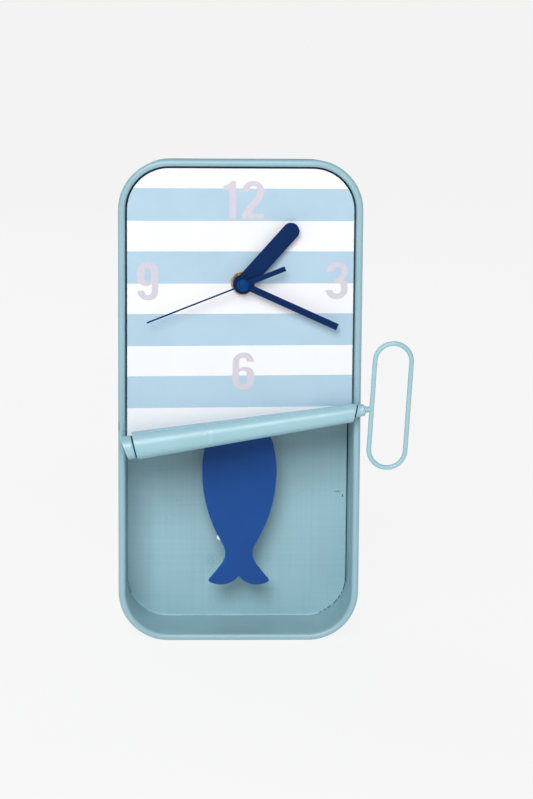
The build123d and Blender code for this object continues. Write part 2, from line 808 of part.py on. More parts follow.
def movement_outline(inset):
    """Outline of the movement: a wide upper part on a narrower foot."""
    shoulder = -movement_shoulder - (movement_width - movement_foot_width) / 2
    step = inset * tan(radians(45 / 2))
    with BuildLine() as outline:
        FilletPolyline(
            (-body_half + inset, movement_top - inset),
            (body_half - inset, movement_top - inset),
            (body_half - inset, -movement_shoulder - step),
            (foot_half - inset, shoulder - step),
            (foot_half - inset, -movement_bottom + inset),
            (-foot_half + inset, -movement_bottom + inset),
            (-foot_half + inset, shoulder - step),
            (-body_half + inset, -movement_shoulder - step),
            radius=movement_corner - inset,
            close=True,
        )
    return outline.edges()


bay_half = battery_radius + battery_bay_gap
pivot_at = (hub_x + pivot_shift, hub_z - pivot_drop)
coil_at = (pivot_at[0], pivot_at[1] - magnet_drop)
bay_length = battery_length + battery_nub_length + 2 * (contact_thickness + contact_spring_gap)
with BuildPart() as movement_case:
    with BuildSketch(plane_at(cover_front_out, *hub)):
        make_face(movement_outline(0))
    extrude(amount=movement_front_out - cover_front_out)
    with BuildSketch(plane_at(cover_front_out, *hub)):
        make_face(movement_outline(movement_wall))
    extrude(amount=plate_inner_out - cover_front_out, mode=Mode.SUBTRACT)
    with BuildSketch(plane_at(cover_front_out, *hub)):
        bay_wall_offset = bay_half + bay_wall / 2
        with Locations((0, -battery_drop + bay_wall_offset), (0, -battery_drop - bay_wall_offset)):
            Rectangle(movement_width - 2 * movement_wall, bay_wall)
    extrude(amount=plate_inner_out - cover_front_out)
    with BuildSketch(plane_at(plate_inner_out, *hub)):
        Circle(neck_radius)
    extrude(amount=movement_wall, mode=Mode.SUBTRACT)
    for at, _ in pin_ends:
        with BuildSketch(plane_at(plate_inner_out, *at)):
            Circle(train_pin_radius)
        extrude(amount=pin_press, mode=Mode.SUBTRACT)
    with BuildSketch(plane_at(cover_front_out + coil_cover_gap, *coil_at)):
        Circle(coil_inner_radius)
    extrude(amount=plate_inner_out - cover_front_out - coil_cover_gap)
finish(movement_case.part, "movement_case")

with BuildPart() as movement_cover:
    with BuildSketch(plane_at(movement_rear_out, *hub)):
        make_face(movement_outline(0))
        with Locations((0, -battery_drop)):
            RectangleRounded(bay_length, 2 * bay_half, bay_corner, mode=Mode.SUBTRACT)
        with Locations((pivot_shift, -pivot_drop)):
            Circle(pivot_radius, mode=Mode.SUBTRACT)
        with Locations((knob_at[0] - hub_x, knob_at[1] - hub_z)):
            Circle(knob_shaft_radius + shaft_fit, mode=Mode.SUBTRACT)
    extrude(amount=movement_wall)
finish(movement_cover.part, "movement_cover")

with BuildPart() as threaded_neck:
    with BuildSketch(plane_at(plate_inner_out, *hub)):
        Circle(neck_radius)
        Circle(hour_pipe_radius + shaft_fit, mode=Mode.SUBTRACT)
    extrude(amount=neck_front_out - plate_inner_out)
    chamfer(threaded_neck.edges().group_by(Axis.Y)[0].sort_by(SortBy.LENGTH)[-1:], length=neck_chamfer)
finish(threaded_neck.part, "threaded_neck")


def flat_ring(out, thickness, outer, inner):
    """Flat ring round the hand shaft."""
    with BuildPart() as ring:
        with BuildSketch(plane_at(out, *hub)):
            Circle(outer)
            Circle(inner, mode=Mode.SUBTRACT)
        extrude(amount=thickness)
    return ring


mounting_gasket = flat_ring(movement_front_out, gasket_thickness, gasket_radius, neck_radius)
finish(mounting_gasket.part, "mounting_gasket")
brass_washer = flat_ring(dial_front_out, washer_thickness, washer_radius, neck_radius)
finish(brass_washer.part, "brass_washer")

nut_out = dial_front_out + washer_thickness
with BuildPart() as brass_nut:
    with BuildSketch(plane_at(nut_out, *hub)):
        RegularPolygon(nut_flats / 2, 6, major_radius=False)
        Circle(neck_radius, mode=Mode.SUBTRACT)
    extrude(amount=nut_thickness)
finish(brass_nut.part, "brass_nut")

# ---------------------------------------------------------------- power and stepping motor
battery_out = (plate_inner_out + cover_front_out) / 2
battery_left = hub_x - (battery_length + battery_nub_length) / 2
battery_plane = Plane(origin=(battery_left, -battery_out, hub_z - battery_drop), x_dir=(0, 1, 0), z_dir=(1, 0, 0))
with BuildPart() as battery:
    with BuildSketch(battery_plane):
        Circle(battery_radius)
    extrude(amount=battery_length)
    fillet(battery.edges().filter_by(GeomType.CIRCLE), radius=battery_edge_rounding)
    with BuildSketch(battery_plane.offset(battery_length)):
        Circle(battery_nub_radius)
    extrude(amount=battery_nub_length)
finish(battery.part, "battery")

with BuildPart() as battery_contacts:
    for start in (-contact_thickness, battery_length + battery_nub_length):
        with BuildSketch(battery_plane.offset(start)):
            RectangleRounded(contact_size, contact_size, contact_corner)
        extrude(amount=contact_thickness)
finish(battery_contacts.part, "battery_contacts")

stator_rear = magnet_front - magnet_rotor_length / 2 - stator_thickness / 2
stator_left = rotor_at[0] - hub_x - stator_left_reach
with BuildPart() as stator:
    with BuildSketch(plane_at(stator_rear, *hub)):
        rotor_height = rotor_at[1] - hub_z
        stator_foot = rotor_height - stator_end_height / 2
        leg_height = core_level + stator_leg_width / 2 - stator_foot
        with Locations((stator_left, stator_foot)):
            Rectangle(stator_leg_width, leg_height, align=(Align.MIN, Align.MIN))
        with Locations((stator_right, stator_foot)):
            Rectangle(stator_leg_width, leg_height, align=(Align.MAX, Align.MIN))
        with Locations((stator_left, rotor_height)):
            Rectangle(stator_right - stator_left, stator_end_height, align=(Align.MIN, Align.CENTER))
        with Locations((rotor_at[0] - hub_x, rotor_height)):
            Circle(stator_bore, mode=Mode.SUBTRACT)
    extrude(amount=stator_thickness)
finish(stator.part, "stator")

core_rear = stator_rear - coil_core_thickness
with BuildPart() as coil_core:
    with BuildSketch(plane_at(core_rear, *hub)):
        with Locations((stator_left, core_level)):
            Rectangle(stator_right - stator_left, coil_core_width, align=(Align.MIN, Align.CENTER))
    extrude(amount=coil_core_thickness)
finish(coil_core.part, "coil_core")

coil_start = stator_left + stator_leg_width + coil_end_gap
coil_end = stator_right - stator_leg_width - coil_end_gap
coil_axis_plane = Plane(
    origin=(hub_x + coil_start, -(core_rear + coil_core_thickness / 2), hub_z + core_level),
    x_dir=(0, 1, 0),
    z_dir=(1, 0, 0),
)
with BuildPart() as stepper_coil:
    with BuildSketch(coil_axis_plane):
        Circle(winding_radius)
    extrude(amount=coil_end - coil_start)
    with BuildSketch(coil_axis_plane, coil_axis_plane.offset(coil_end - coil_start - cheek_thickness)):
        Circle(cheek_radius)
    extrude(amount=cheek_thickness)
    with BuildSketch(coil_axis_plane):
        Rectangle(coil_core_thickness + 2 * coil_core_fit, coil_core_width + 2 * coil_core_fit)
    extrude(amount=coil_end - coil_start, mode=Mode.SUBTRACT)
finish(stepper_coil.part, "stepper_coil")

board_side = hub_x + body_half - movement_wall - board_gap
with BuildPart() as circuit_board:
    with BuildSketch(plane_at(motion_layer, board_side, hub_z + board_rise)):
        Rectangle(board_width, board_height, align=(Align.MAX, Align.CENTER))
    extrude(amount=board_thickness)
finish(circuit_board.part, "circuit_board")

with BuildPart() as pendulum_coil:
    with BuildSketch(plane_at(cover_front_out + coil_cover_gap, *coil_at)):
        Circle(coil_outer_radius)
        Circle(coil_inner_radius, mode=Mode.SUBTRACT)
    extrude(amount=coil_height)
finish(pendulum_coil.part, "pendulum_coil")

# ---------------------------------------------------------------- pendulum
arm_front_out = movement_rear_out - arm_gap
arm_rear_out = arm_front_out - arm_thickness
hub_front_out = movement_rear_out - arm_hub_gap
hub_rear_out = arm_rear_out - arm_hub_rise
with BuildPart() as pivot_pin:
    pin_rear = hub_rear_out - pivot_head_gap
    with BuildSketch(plane_at(pin_rear, *pivot_at)):
        Circle(pivot_radius)
    extrude(amount=cover_front_out - pin_rear)
    with BuildSketch(plane_at(pin_rear - pivot_head_height, *pivot_at)):
        Circle(pivot_head_radius)
    extrude(amount=pivot_head_height)
finish(pivot_pin.part, "pivot_pin")

fish_front_out = arm_rear_out - fish_gap
fish_rear_out = fish_front_out - fish_thickness
rod_rear_out = fish_rear_out - rod_thickness
with BuildPart() as swing_arm:
    with BuildSketch(plane_at(arm_rear_out, *pivot_at)):
        with Locations((0, 0), (0, -magnet_drop)):
            Circle(arm_width / 2 + arm_eye_margin)
        with Locations((0, -magnet_drop / 2)):
            Rectangle(arm_width, magnet_drop)
        with Locations((0, -magnet_drop)):
            Circle(magnet_radius + magnet_wall)
    extrude(amount=arm_thickness)
    with BuildSketch(plane_at(hub_rear_out, *pivot_at)):
        Circle(arm_hub_radius)
    extrude(amount=hub_front_out - hub_rear_out)
    with BuildSketch(plane_at(rod_rear_out - peg_tip, *pivot_at)):
        with Locations((0, -peg_drop)):
            Circle(peg_radius)
    extrude(amount=arm_rear_out - rod_rear_out + peg_tip)
    with BuildSketch(plane_at(hub_rear_out, *pivot_at)):
        Circle(pivot_radius + pivot_fit)
        with Locations((0, -magnet_drop)):
            Circle(magnet_radius)
    extrude(amount=hub_front_out - hub_rear_out, mode=Mode.SUBTRACT)
finish(swing_arm.part, "swing_arm")

with BuildPart() as arm_magnet:
    with BuildSketch(plane_at(arm_front_out + magnet_proud - magnet_thickness, *coil_at)):
        Circle(magnet_radius)
    extrude(amount=magnet_thickness)
finish(arm_magnet.part, "arm_magnet")

fish_at = (pivot_at[0], pivot_at[1] - fish_widest_drop)
nose_height = sqrt(fish_head_arc**2 - (fish_head_arc - fish_half_width) ** 2)
body_end_x = fish_half_width - fish_body_arc + sqrt(fish_body_arc**2 - fish_body_end**2)
with BuildPart() as fish:
    with BuildSketch(plane_at(fish_rear_out, *fish_at)) as fish_outline:
        with BuildLine() as half_outline:
            head = RadiusArc((0, nose_height), (fish_half_width, 0), fish_head_arc)
            body = RadiusArc((fish_half_width, 0), (body_end_x, -fish_body_end), fish_body_arc)
            waist = TangentArc(body @ 1, fish_tail_start, tangent=body % 1)
            flare = TangentArc(waist @ 1, fish_tail_tip, tangent=waist % 1)
            ThreePointArc(fish_tail_tip, fish_tail_bottom, fish_notch)
            mirror(about=Plane.YZ)
        make_face()
        fillet(fish_outline.vertices().sort_by(Axis.Y)[-1:], radius=fish_nose_rounding)
        tips = fish_outline.vertices().filter_by(lambda corner: isclose(corner.Y, fish_tail_tip[1], rel_tol=1e-4))
        fillet(tips, radius=fish_tip_rounding)
    extrude(amount=fish_thickness)
finish(fish.part, "fish")

peg_at = (pivot_at[0], pivot_at[1] - peg_drop)
rod_foot_z = fish_at[1] + nose_height - rod_overlap
with BuildPart() as pendulum_rod:
    with BuildSketch(plane_at(rod_rear_out)):
        with BuildLine():
            Polyline(
                (peg_at[0] - rod_width / 2, peg_at[1]),
                (peg_at[0] + rod_width / 2, peg_at[1]),
                (fish_at[0] + rod_width / 2, rod_foot_z),
                (fish_at[0] - rod_width / 2, rod_foot_z),
                close=True,
            )
        make_face()
        with Locations(peg_at):
            Circle(rod_width / 2 + rod_eye_margin)
            Circle(peg_radius, mode=Mode.SUBTRACT)
    extrude(amount=rod_thickness)
finish(pendulum_rod.part, "pendulum_rod")


# ---------------------------------------------------------------- hands
def hand_plane(out, clockwise):
    """Plane on the hand shaft whose local y points along a hand."""
    return Plane(plane_at(out, *hub).location * Location((0, 0, 0), (0, 0, -clockwise)))


hour_hand_out = hour_pipe_end - hour_pipe_tip - hand_thickness
with BuildPart() as hour_hand:
    with BuildSketch(hand_plane(hour_hand_out, hour_angle)):
        Circle(hour_hand_hub_radius)
        with Locations((0, hour_hand_length / 2)):
            Rectangle(hour_hand_width, hour_hand_length)
        with Locations((0, hour_hand_length)):
            Circle(hour_hand_width / 2)
        Circle(hour_pipe_radius, mode=Mode.SUBTRACT)
    extrude(amount=hand_thickness)
finish(hour_hand.part, "hour_hand")

minute_hand_out = minute_pipe_end - minute_pipe_tip - hand_thickness
with BuildPart() as minute_hand:
    with BuildSketch(hand_plane(minute_hand_out, minute_angle)):
        Circle(minute_hand_hub_radius)
        with Locations((0, minute_hand_length / 2)):
            Rectangle(minute_hand_width, minute_hand_length)
        Circle(minute_pipe_radius, mode=Mode.SUBTRACT)
    extrude(amount=hand_thickness)
finish(minute_hand.part, "minute_hand")

second_hand_out = minute_pipe_end + second_hand_gap
with BuildPart() as second_hand:
    with BuildSketch(hand_plane(second_hand_out, second_angle)):
        Circle(second_hand_hub_radius)
        with Locations((0, second_hand_length / 2)):
            Rectangle(second_hand_width, second_hand_length)
        with Locations((0, -second_tail_length / 2)):
            Rectangle(second_tail_width, second_tail_length)
        Circle(second_shaft_radius, mode=Mode.SUBTRACT)
    extrude(amount=second_hand_thickness)
finish(second_hand.part, "second_hand")

cap_out = second_hand_out + second_hand_thickness
with BuildPart() as second_hand_cap:
    with BuildSketch(plane_at(cap_out, *hub)):
        Circle(cap_radius)
    extrude(amount=cap_height)
    fillet(second_hand_cap.edges().group_by(Axis.Y)[0], radius=cap_rounding)
    with BuildSketch(plane_at(cap_out, *hub)):
        Circle(second_shaft_radius)
    extrude(amount=second_shaft_end - cap_out, mode=Mode.SUBTRACT)
finish(second_hand_cap.part, "second_hand_cap")
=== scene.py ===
# %% [markdown]
# # A wall clock made like an opened sardine tin
#
# A teal tin tray stands behind a striped dial. Its lid is rolled down on a wire key, and a blue fish
# swings below as the pendulum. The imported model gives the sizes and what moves. This lesson puts
# the finished surfaces around it, one piece of the clock at a time.

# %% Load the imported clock
from functools import partial
from math import cos, pi, radians, sin, tan

import bmesh
import bpy
from mathutils import Matrix, Vector


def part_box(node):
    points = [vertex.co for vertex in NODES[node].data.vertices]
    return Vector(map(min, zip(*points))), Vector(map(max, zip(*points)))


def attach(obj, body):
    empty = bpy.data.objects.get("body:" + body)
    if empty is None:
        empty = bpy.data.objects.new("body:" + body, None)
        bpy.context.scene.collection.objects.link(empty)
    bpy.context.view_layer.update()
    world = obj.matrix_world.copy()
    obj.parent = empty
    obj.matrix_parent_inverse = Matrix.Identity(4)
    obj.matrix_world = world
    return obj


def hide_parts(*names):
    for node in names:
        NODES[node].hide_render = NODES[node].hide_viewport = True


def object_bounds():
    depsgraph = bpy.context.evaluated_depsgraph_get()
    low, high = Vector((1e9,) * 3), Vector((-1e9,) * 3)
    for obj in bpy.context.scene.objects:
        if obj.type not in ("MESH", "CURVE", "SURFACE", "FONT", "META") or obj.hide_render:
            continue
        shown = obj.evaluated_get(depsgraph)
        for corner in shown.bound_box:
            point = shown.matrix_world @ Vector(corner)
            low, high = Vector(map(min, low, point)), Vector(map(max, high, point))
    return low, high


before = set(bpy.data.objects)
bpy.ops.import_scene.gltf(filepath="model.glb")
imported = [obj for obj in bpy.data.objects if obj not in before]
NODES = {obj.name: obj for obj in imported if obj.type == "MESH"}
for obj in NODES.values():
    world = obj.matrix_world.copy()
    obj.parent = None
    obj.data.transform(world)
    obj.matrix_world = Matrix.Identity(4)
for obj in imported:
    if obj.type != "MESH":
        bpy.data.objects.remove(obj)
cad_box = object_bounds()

MM = 0.001
UPRIGHT = Matrix.Rotation(radians(90), 4, "X")

# %% [markdown]
# ## Small tools
#
# Shader trees and Geometry Nodes trees are both built from nodes and links, so one helper serves for both.
# It takes a node type, the values or links of its inputs, and its own settings. A second helper starts
# a Geometry Nodes tree with named inputs, and a third runs a tree once and keeps the plain mesh,
# because a copy of a real mesh is what an export can read. The rest clean a mesh, soften a copy of a solid,
# turn a round shape from its rings, and set a piece on its body.


# %% Node helpers
MERGE, FLAT_ANGLE, EDGE_ANGLE = 2e-6, 0.5, 28


def add(owner, kind, inputs=None, **settings):
    """A node in its owner's tree, with its settings. Inputs are values, or sockets or nodes to link from."""
    tree = owner.id_data
    node = tree.nodes.new(kind)
    for key, value in settings.items():
        setattr(node, key, value)
    for key, value in (inputs or {}).items():
        if isinstance(value, bpy.types.Node):
            value = value.outputs[0]
        if isinstance(value, bpy.types.NodeSocket):
            tree.links.new(value, node.inputs[key])
        else:
            node.inputs[key].default_value = value
    return node


def new_tree(name, sizes):
    """A Geometry Nodes tree with a geometry input and named sizes. Returns the tree and its inputs."""
    tree = bpy.data.node_groups.new(name, "GeometryNodeTree")
    tree.interface.new_socket("Geometry", in_out="INPUT", socket_type="NodeSocketGeometry")
    for label, value in sizes.items():
        whole = isinstance(value, int)
        socket = tree.interface.new_socket(
            label, in_out="INPUT", socket_type="NodeSocketInt" if whole else "NodeSocketFloat"
        )
        socket.default_value = value
    tree.interface.new_socket("Geometry", in_out="OUTPUT", socket_type="NodeSocketGeometry")
    return tree, tree.nodes.new("NodeGroupInput").outputs


def drifted(tree, geometry, scale, amount, detail):
    """Moves a geometry's points about by a slow noise of a given amount."""
    spot = add(tree, "GeometryNodeInputPosition").outputs[0]
    field = add(tree, "ShaderNodeTexNoise", {"Vector": spot, "Scale": scale, "Detail": detail})
    signed = add(tree, "ShaderNodeVectorMath", {0: field.outputs["Color"], 1: (0.5, 0.5, 0.5)}, operation="SUBTRACT")
    sized = add(tree, "ShaderNodeVectorMath", {0: signed, "Scale": amount}, operation="SCALE")
    return add(tree, "GeometryNodeSetPosition", {"Geometry": geometry, "Offset": sized})


def close_tree(tree, geometry, material):
    """Ends a tree in real geometry with its material set."""
    real = add(tree, "GeometryNodeRealizeInstances", {"Geometry": geometry})
    painted = add(tree, "GeometryNodeSetMaterial", {"Geometry": real, "Material": material})
    add(tree, "NodeGroupOutput", {"Geometry": painted})


def show(mesh, name):
    """A new object for a mesh, at the origin."""
    piece = bpy.data.objects.new(name, mesh)
    bpy.context.scene.collection.objects.link(piece)
    return piece


def baked(piece):
    """A plain mesh of what a piece becomes under its modifiers."""
    depsgraph = bpy.context.evaluated_depsgraph_get()
    return bpy.data.meshes.new_from_object(piece.evaluated_get(depsgraph), depsgraph=depsgraph)


def grown(name, start, tree, sizes):
    """Runs a tree on a starting mesh with the given sizes, and returns the result as a plain mesh object."""
    seed_piece = show(start, name + "_start")
    modifier = seed_piece.modifiers.new("grow", "NODES")
    modifier.node_group = tree
    sockets = {item.name: item.identifier for item in tree.interface.items_tree if item.in_out == "INPUT"}
    for label, value in sizes.items():
        modifier[sockets[label]] = value
    mesh = baked(seed_piece)
    mesh.name = name
    bpy.data.objects.remove(seed_piece)
    return show(mesh, name)


def tidy_mesh(piece, sharp=35):
    """Merges doubles, turns the faces outwards, and shades smooth except across sharp edges."""
    shape = bmesh.new()
    shape.from_mesh(piece.data)
    bmesh.ops.remove_doubles(shape, verts=shape.verts, dist=MERGE / 2)
    bmesh.ops.recalc_face_normals(shape, faces=shape.faces)
    shape.to_mesh(piece.data)
    shape.free()
    piece.data.shade_smooth()
    piece.data.set_sharp_from_angle(angle=radians(sharp))


def fit(piece, body, slot, *stands_for, material=None):
    """Rides a piece on its body and hides the solids it stands for. The slot is not used."""
    if material is not None:
        piece.data.materials.clear()
        piece.data.materials.append(material)
    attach(piece, body)
    if stands_for:
        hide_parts(*stands_for)
    print(piece.name, len(piece.data.polygons), "faces on", body)
    return piece


def bevel_edges(piece, width, angle):
    """A bevel of a width in mm on the edges that are sharper than an angle."""
    bevel = piece.modifiers.new("rounded edges", "BEVEL")
    bevel.width = width * MM
    bevel.segments = 2
    bevel.limit_method = "ANGLE"
    bevel.angle_limit = radians(angle)
    return bevel


def softened(node, name, width):
    """A copy of a solid with its doubles merged, its flats joined and its sharp edges rounded by a width in mm."""
    shape = bmesh.new()
    shape.from_mesh(NODES[node].data)
    bmesh.ops.remove_doubles(shape, verts=shape.verts, dist=MERGE)
    bmesh.ops.dissolve_limit(shape, angle_limit=radians(FLAT_ANGLE), verts=shape.verts, edges=shape.edges)
    mesh = bpy.data.meshes.new(name)
    shape.to_mesh(mesh)
    shape.free()
    piece = show(mesh, name)
    bevel_edges(piece, width, EDGE_ANGLE).harden_normals = True
    mesh.shade_smooth()
    mesh.set_sharp_from_angle(angle=radians(EDGE_ANGLE + 8))
    return piece


def turned(name, rings, place, count):
    """A closed turned shape from rings of radius and station in mm, with its points put where place says."""
    shape = bmesh.new()
    loops = []
    for wide, along in rings:
        turns = [2 * pi * i / count for i in range(count if wide else 1)]
        loops.append([shape.verts.new(place(wide * cos(turn), wide * sin(turn), along)) for turn in turns])
    for first, second in zip(loops, loops[1:]):
        for i in range(count):
            corners = [first[i % len(first)], first[(i + 1) % len(first)],
                       second[(i + 1) % len(second)], second[i % len(second)]]
            unique = list(dict.fromkeys(corners))
            if len(unique) > 2:
                shape.faces.new(unique)
    bmesh.ops.recalc_face_normals(shape, faces=shape.faces)
    mesh = bpy.data.meshes.new(name)
    shape.to_mesh(mesh)
    shape.free()
    return mesh


print("helpers ready")

# %% [markdown]
# ## Camera
#
# The clock is seen from about 1.8 m away, a little from the left and from above the middle of the tin.
# A long lens keeps the sides of the tin nearly parallel. The camera's three axes are written out
# from its heading, its tilt and its small roll, which is clearer than three Euler angles.

# %% Camera
LENS, HEADING, TILT, ROLL = 126.56, 2.042, 10.253, 0.45
CAMERA_PLACE = Vector((-45.5, -1799.6, 191.0))
camera_data = bpy.data.cameras.new("camera")
camera_data.lens = LENS
camera_data.sensor_width = 36.0
camera_data.clip_end = 60.0
camera = bpy.data.objects.new("camera", camera_data)
bpy.context.scene.collection.objects.link(camera)
heading, tilt, roll = radians(HEADING), radians(TILT), radians(ROLL)
forward = Vector((sin(heading) * cos(tilt), cos(heading) * cos(tilt), -sin(tilt)))
level = Vector((cos(heading), -sin(heading), 0))
upright = level.cross(forward)
across = level * cos(roll) + upright * sin(roll)
above = upright * cos(roll) - level * sin(roll)
camera_turn = Matrix((across, above, -forward)).transposed().to_4x4()
camera.matrix_world = Matrix.Translation(CAMERA_PLACE * MM) @ camera_turn
bpy.context.scene.camera = camera
print("camera", [round(value, 3) for value in camera.location])

# %% [markdown]
# ## Studio
#
# The tin stands on its flat lower edge on a pale table. A studio photographer would light such satin
# paint with one large soft window from the upper left and a wide pale room, so that the paint shows
# soft bands and no hard spots. The floor gives off a little light of its own, which keeps it evenly pale.

# %% Floor, room and lamps
FLOOR_GREY = 0.06
FLOOR_GLOW = 0.87
ROOM_LIGHT = 0.27
CLOCK_MIDDLE = Vector((0.0, -0.03, -0.13))
floor_mesh = bpy.data.meshes.new("floor")
floor_shape = bmesh.new()
bmesh.ops.create_circle(floor_shape, cap_ends=True, segments=96, radius=30.0)
floor_shape.to_mesh(floor_mesh)
floor_shape.free()
floor_mesh.transform(Matrix.Translation((0, 0, cad_box[0].z - 0.0002)))
floor = show(floor_mesh, "floor")
floor_paint = bpy.data.materials.new("floor_paint")
floor_paint.use_nodes = True
floor_shader = floor_paint.node_tree.nodes["Principled BSDF"]
floor_grain = add(floor_shader, "ShaderNodeTexNoise", {"Scale": 3.0, "Detail": 3.0})
floor_tone = add(floor_shader, "ShaderNodeMapRange", {
    "Value": floor_grain.outputs["Fac"], "To Min": FLOOR_GREY - 0.01, "To Max": FLOOR_GREY + 0.01})
floor_place = add(floor_shader, "ShaderNodeTexCoord")
floor_paint.node_tree.links.new(floor_place.outputs["Object"], floor_grain.inputs["Vector"])
floor_paint.node_tree.links.new(floor_tone.outputs[0], floor_shader.inputs["Base Color"])
floor_shader.inputs["Roughness"].default_value = 0.9
floor_shader.inputs["Specular IOR Level"].default_value = 0.1
floor_shader.inputs["Emission Color"].default_value = (1, 1, 1, 1)
floor_shader.inputs["Emission Strength"].default_value = FLOOR_GLOW
floor_mesh.materials.append(floor_paint)

room = bpy.data.worlds.new("room")
room.use_nodes = True
room.node_tree.nodes["Background"].inputs["Color"].default_value = (0.985, 0.99, 1.0, 1)
room.node_tree.nodes["Background"].inputs["Strength"].default_value = ROOM_LIGHT
bpy.context.scene.world = room
bpy.context.scene.view_settings.view_transform = "Standard"


def soft_lamp(name, place, size, power):
    """A square softbox at a place in metres, aimed at the middle of the clock."""
    data = bpy.data.lights.new(name, "AREA")
    data.size = size
    data.energy = power
    lamp = bpy.data.objects.new(name, data)
    bpy.context.scene.collection.objects.link(lamp)
    lamp.location = place
    lamp.rotation_mode = "QUATERNION"
    lamp.rotation_quaternion = (CLOCK_MIDDLE - Vector(place)).to_track_quat("-Z", "Y")


soft_lamp("window_light", (-0.32, -1.72, 0.92), 1.0, 34.0)
soft_lamp("far_fill", (1.5, -1.4, 0.3), 1.4, 3.0)
soft_lamp("back_fill", (-0.9, 1.6, 0.8), 1.4, 12.0)
print("floor, room and three lamps")

# %% [markdown]
# ## Paint on steel
#
# Every tin part wears the same baked teal paint; the wall's copy of it is made darker, as painted shade. Sprayed paint
# is never flat: it has a faint cloudy tone, a fine orange-peel skin, a gloss that wanders a little, thin rubs from
# handling, a few specks of dust under the coat, and paler paint where it is thin over an edge. Each of those is one
# small group of nodes here, read from Object coordinates in metres, so that all sizes are true.


# %% Paint maker
def start_material(name, roughness=0.5, metallic=0.0):
    """A material with its shader and its object coordinates."""
    material = bpy.data.materials.new(name)
    material.use_nodes = True
    shader = material.node_tree.nodes["Principled BSDF"]
    shader.inputs["Roughness"].default_value = roughness
    shader.inputs["Metallic"].default_value = metallic
    return material, shader, add(shader, "ShaderNodeTexCoord").outputs["Object"]


def feed(shader, label, value):
    """Links a value to one of the shader's inputs."""
    shader.id_data.links.new(value, shader.inputs[label])


def noise(place, scale, detail=2.0, stretch=None):
    """A noise field, stretched along an axis where a stretch is given. Scale is per metre."""
    if stretch is not None:
        place = add(place, "ShaderNodeMapping", {"Vector": place, "Scale": stretch}).outputs[0]
    return add(place, "ShaderNodeTexNoise", {"Vector": place, "Scale": scale, "Detail": detail}).outputs["Fac"]


def span(value, low, high, out_low, out_high):
    """Maps a value from one range to another, held at the ends."""
    ranges = {"Value": value, "From Min": low, "From Max": high, "To Min": out_low, "To Max": out_high}
    return add(value, "ShaderNodeMapRange", ranges).outputs[0]


def math(operation, first, second=None):
    """One math node, in the tree of whichever value is a socket."""
    owner = first if isinstance(first, bpy.types.NodeSocket) else second
    inputs = {0: first} if second is None else {0: first, 1: second}
    return add(owner, "ShaderNodeMath", inputs, operation=operation).outputs[0]


plus, minus, times = partial(math, "ADD"), partial(math, "SUBTRACT"), partial(math, "MULTIPLY")


def blend(share, first, second):
    """A colour mix. Colours are sockets or red, green, blue."""
    first, second = (c if isinstance(c, bpy.types.NodeSocket) else (*c, 1) for c in (first, second))
    return add(share, "ShaderNodeMix", {0: share, 6: first, 7: second}, data_type="RGBA").outputs[2]


def rough_skin(shader, height, depth):
    """Feeds a height field to the shader's normal. Depth is in mm."""
    feed(shader, "Normal", add(height, "ShaderNodeBump", {"Height": height, "Distance": depth * MM}).outputs[0])


def marked(place, colour, marks):
    """Adds small marks to a colour, each (x, z, half width, half height, tone, broken up), in mm."""
    axes = add(place, "ShaderNodeSeparateXYZ", {"Vector": place})
    for x, z, half_w, half_h, tone, broken in marks:
        across = times(minus(axes.outputs["X"], x * MM), 1 / (half_w * MM))
        upward = times(minus(axes.outputs["Z"], z * MM), 1 / (half_h * MM))
        squares = plus(times(across, across), times(upward, upward))
        if broken:
            crumbs = span(noise(place, 1300.0, 1.0), 0.56, 0.62, 0.0, 0.85)
            inside = times(span(squares, 0.0, 1.0, 1.0, 0.0), crumbs)
        else:
            inside = span(squares, 0.7, 1.0, 1.0, 0.0)
        colour = blend(inside, colour, tone)
    return colour


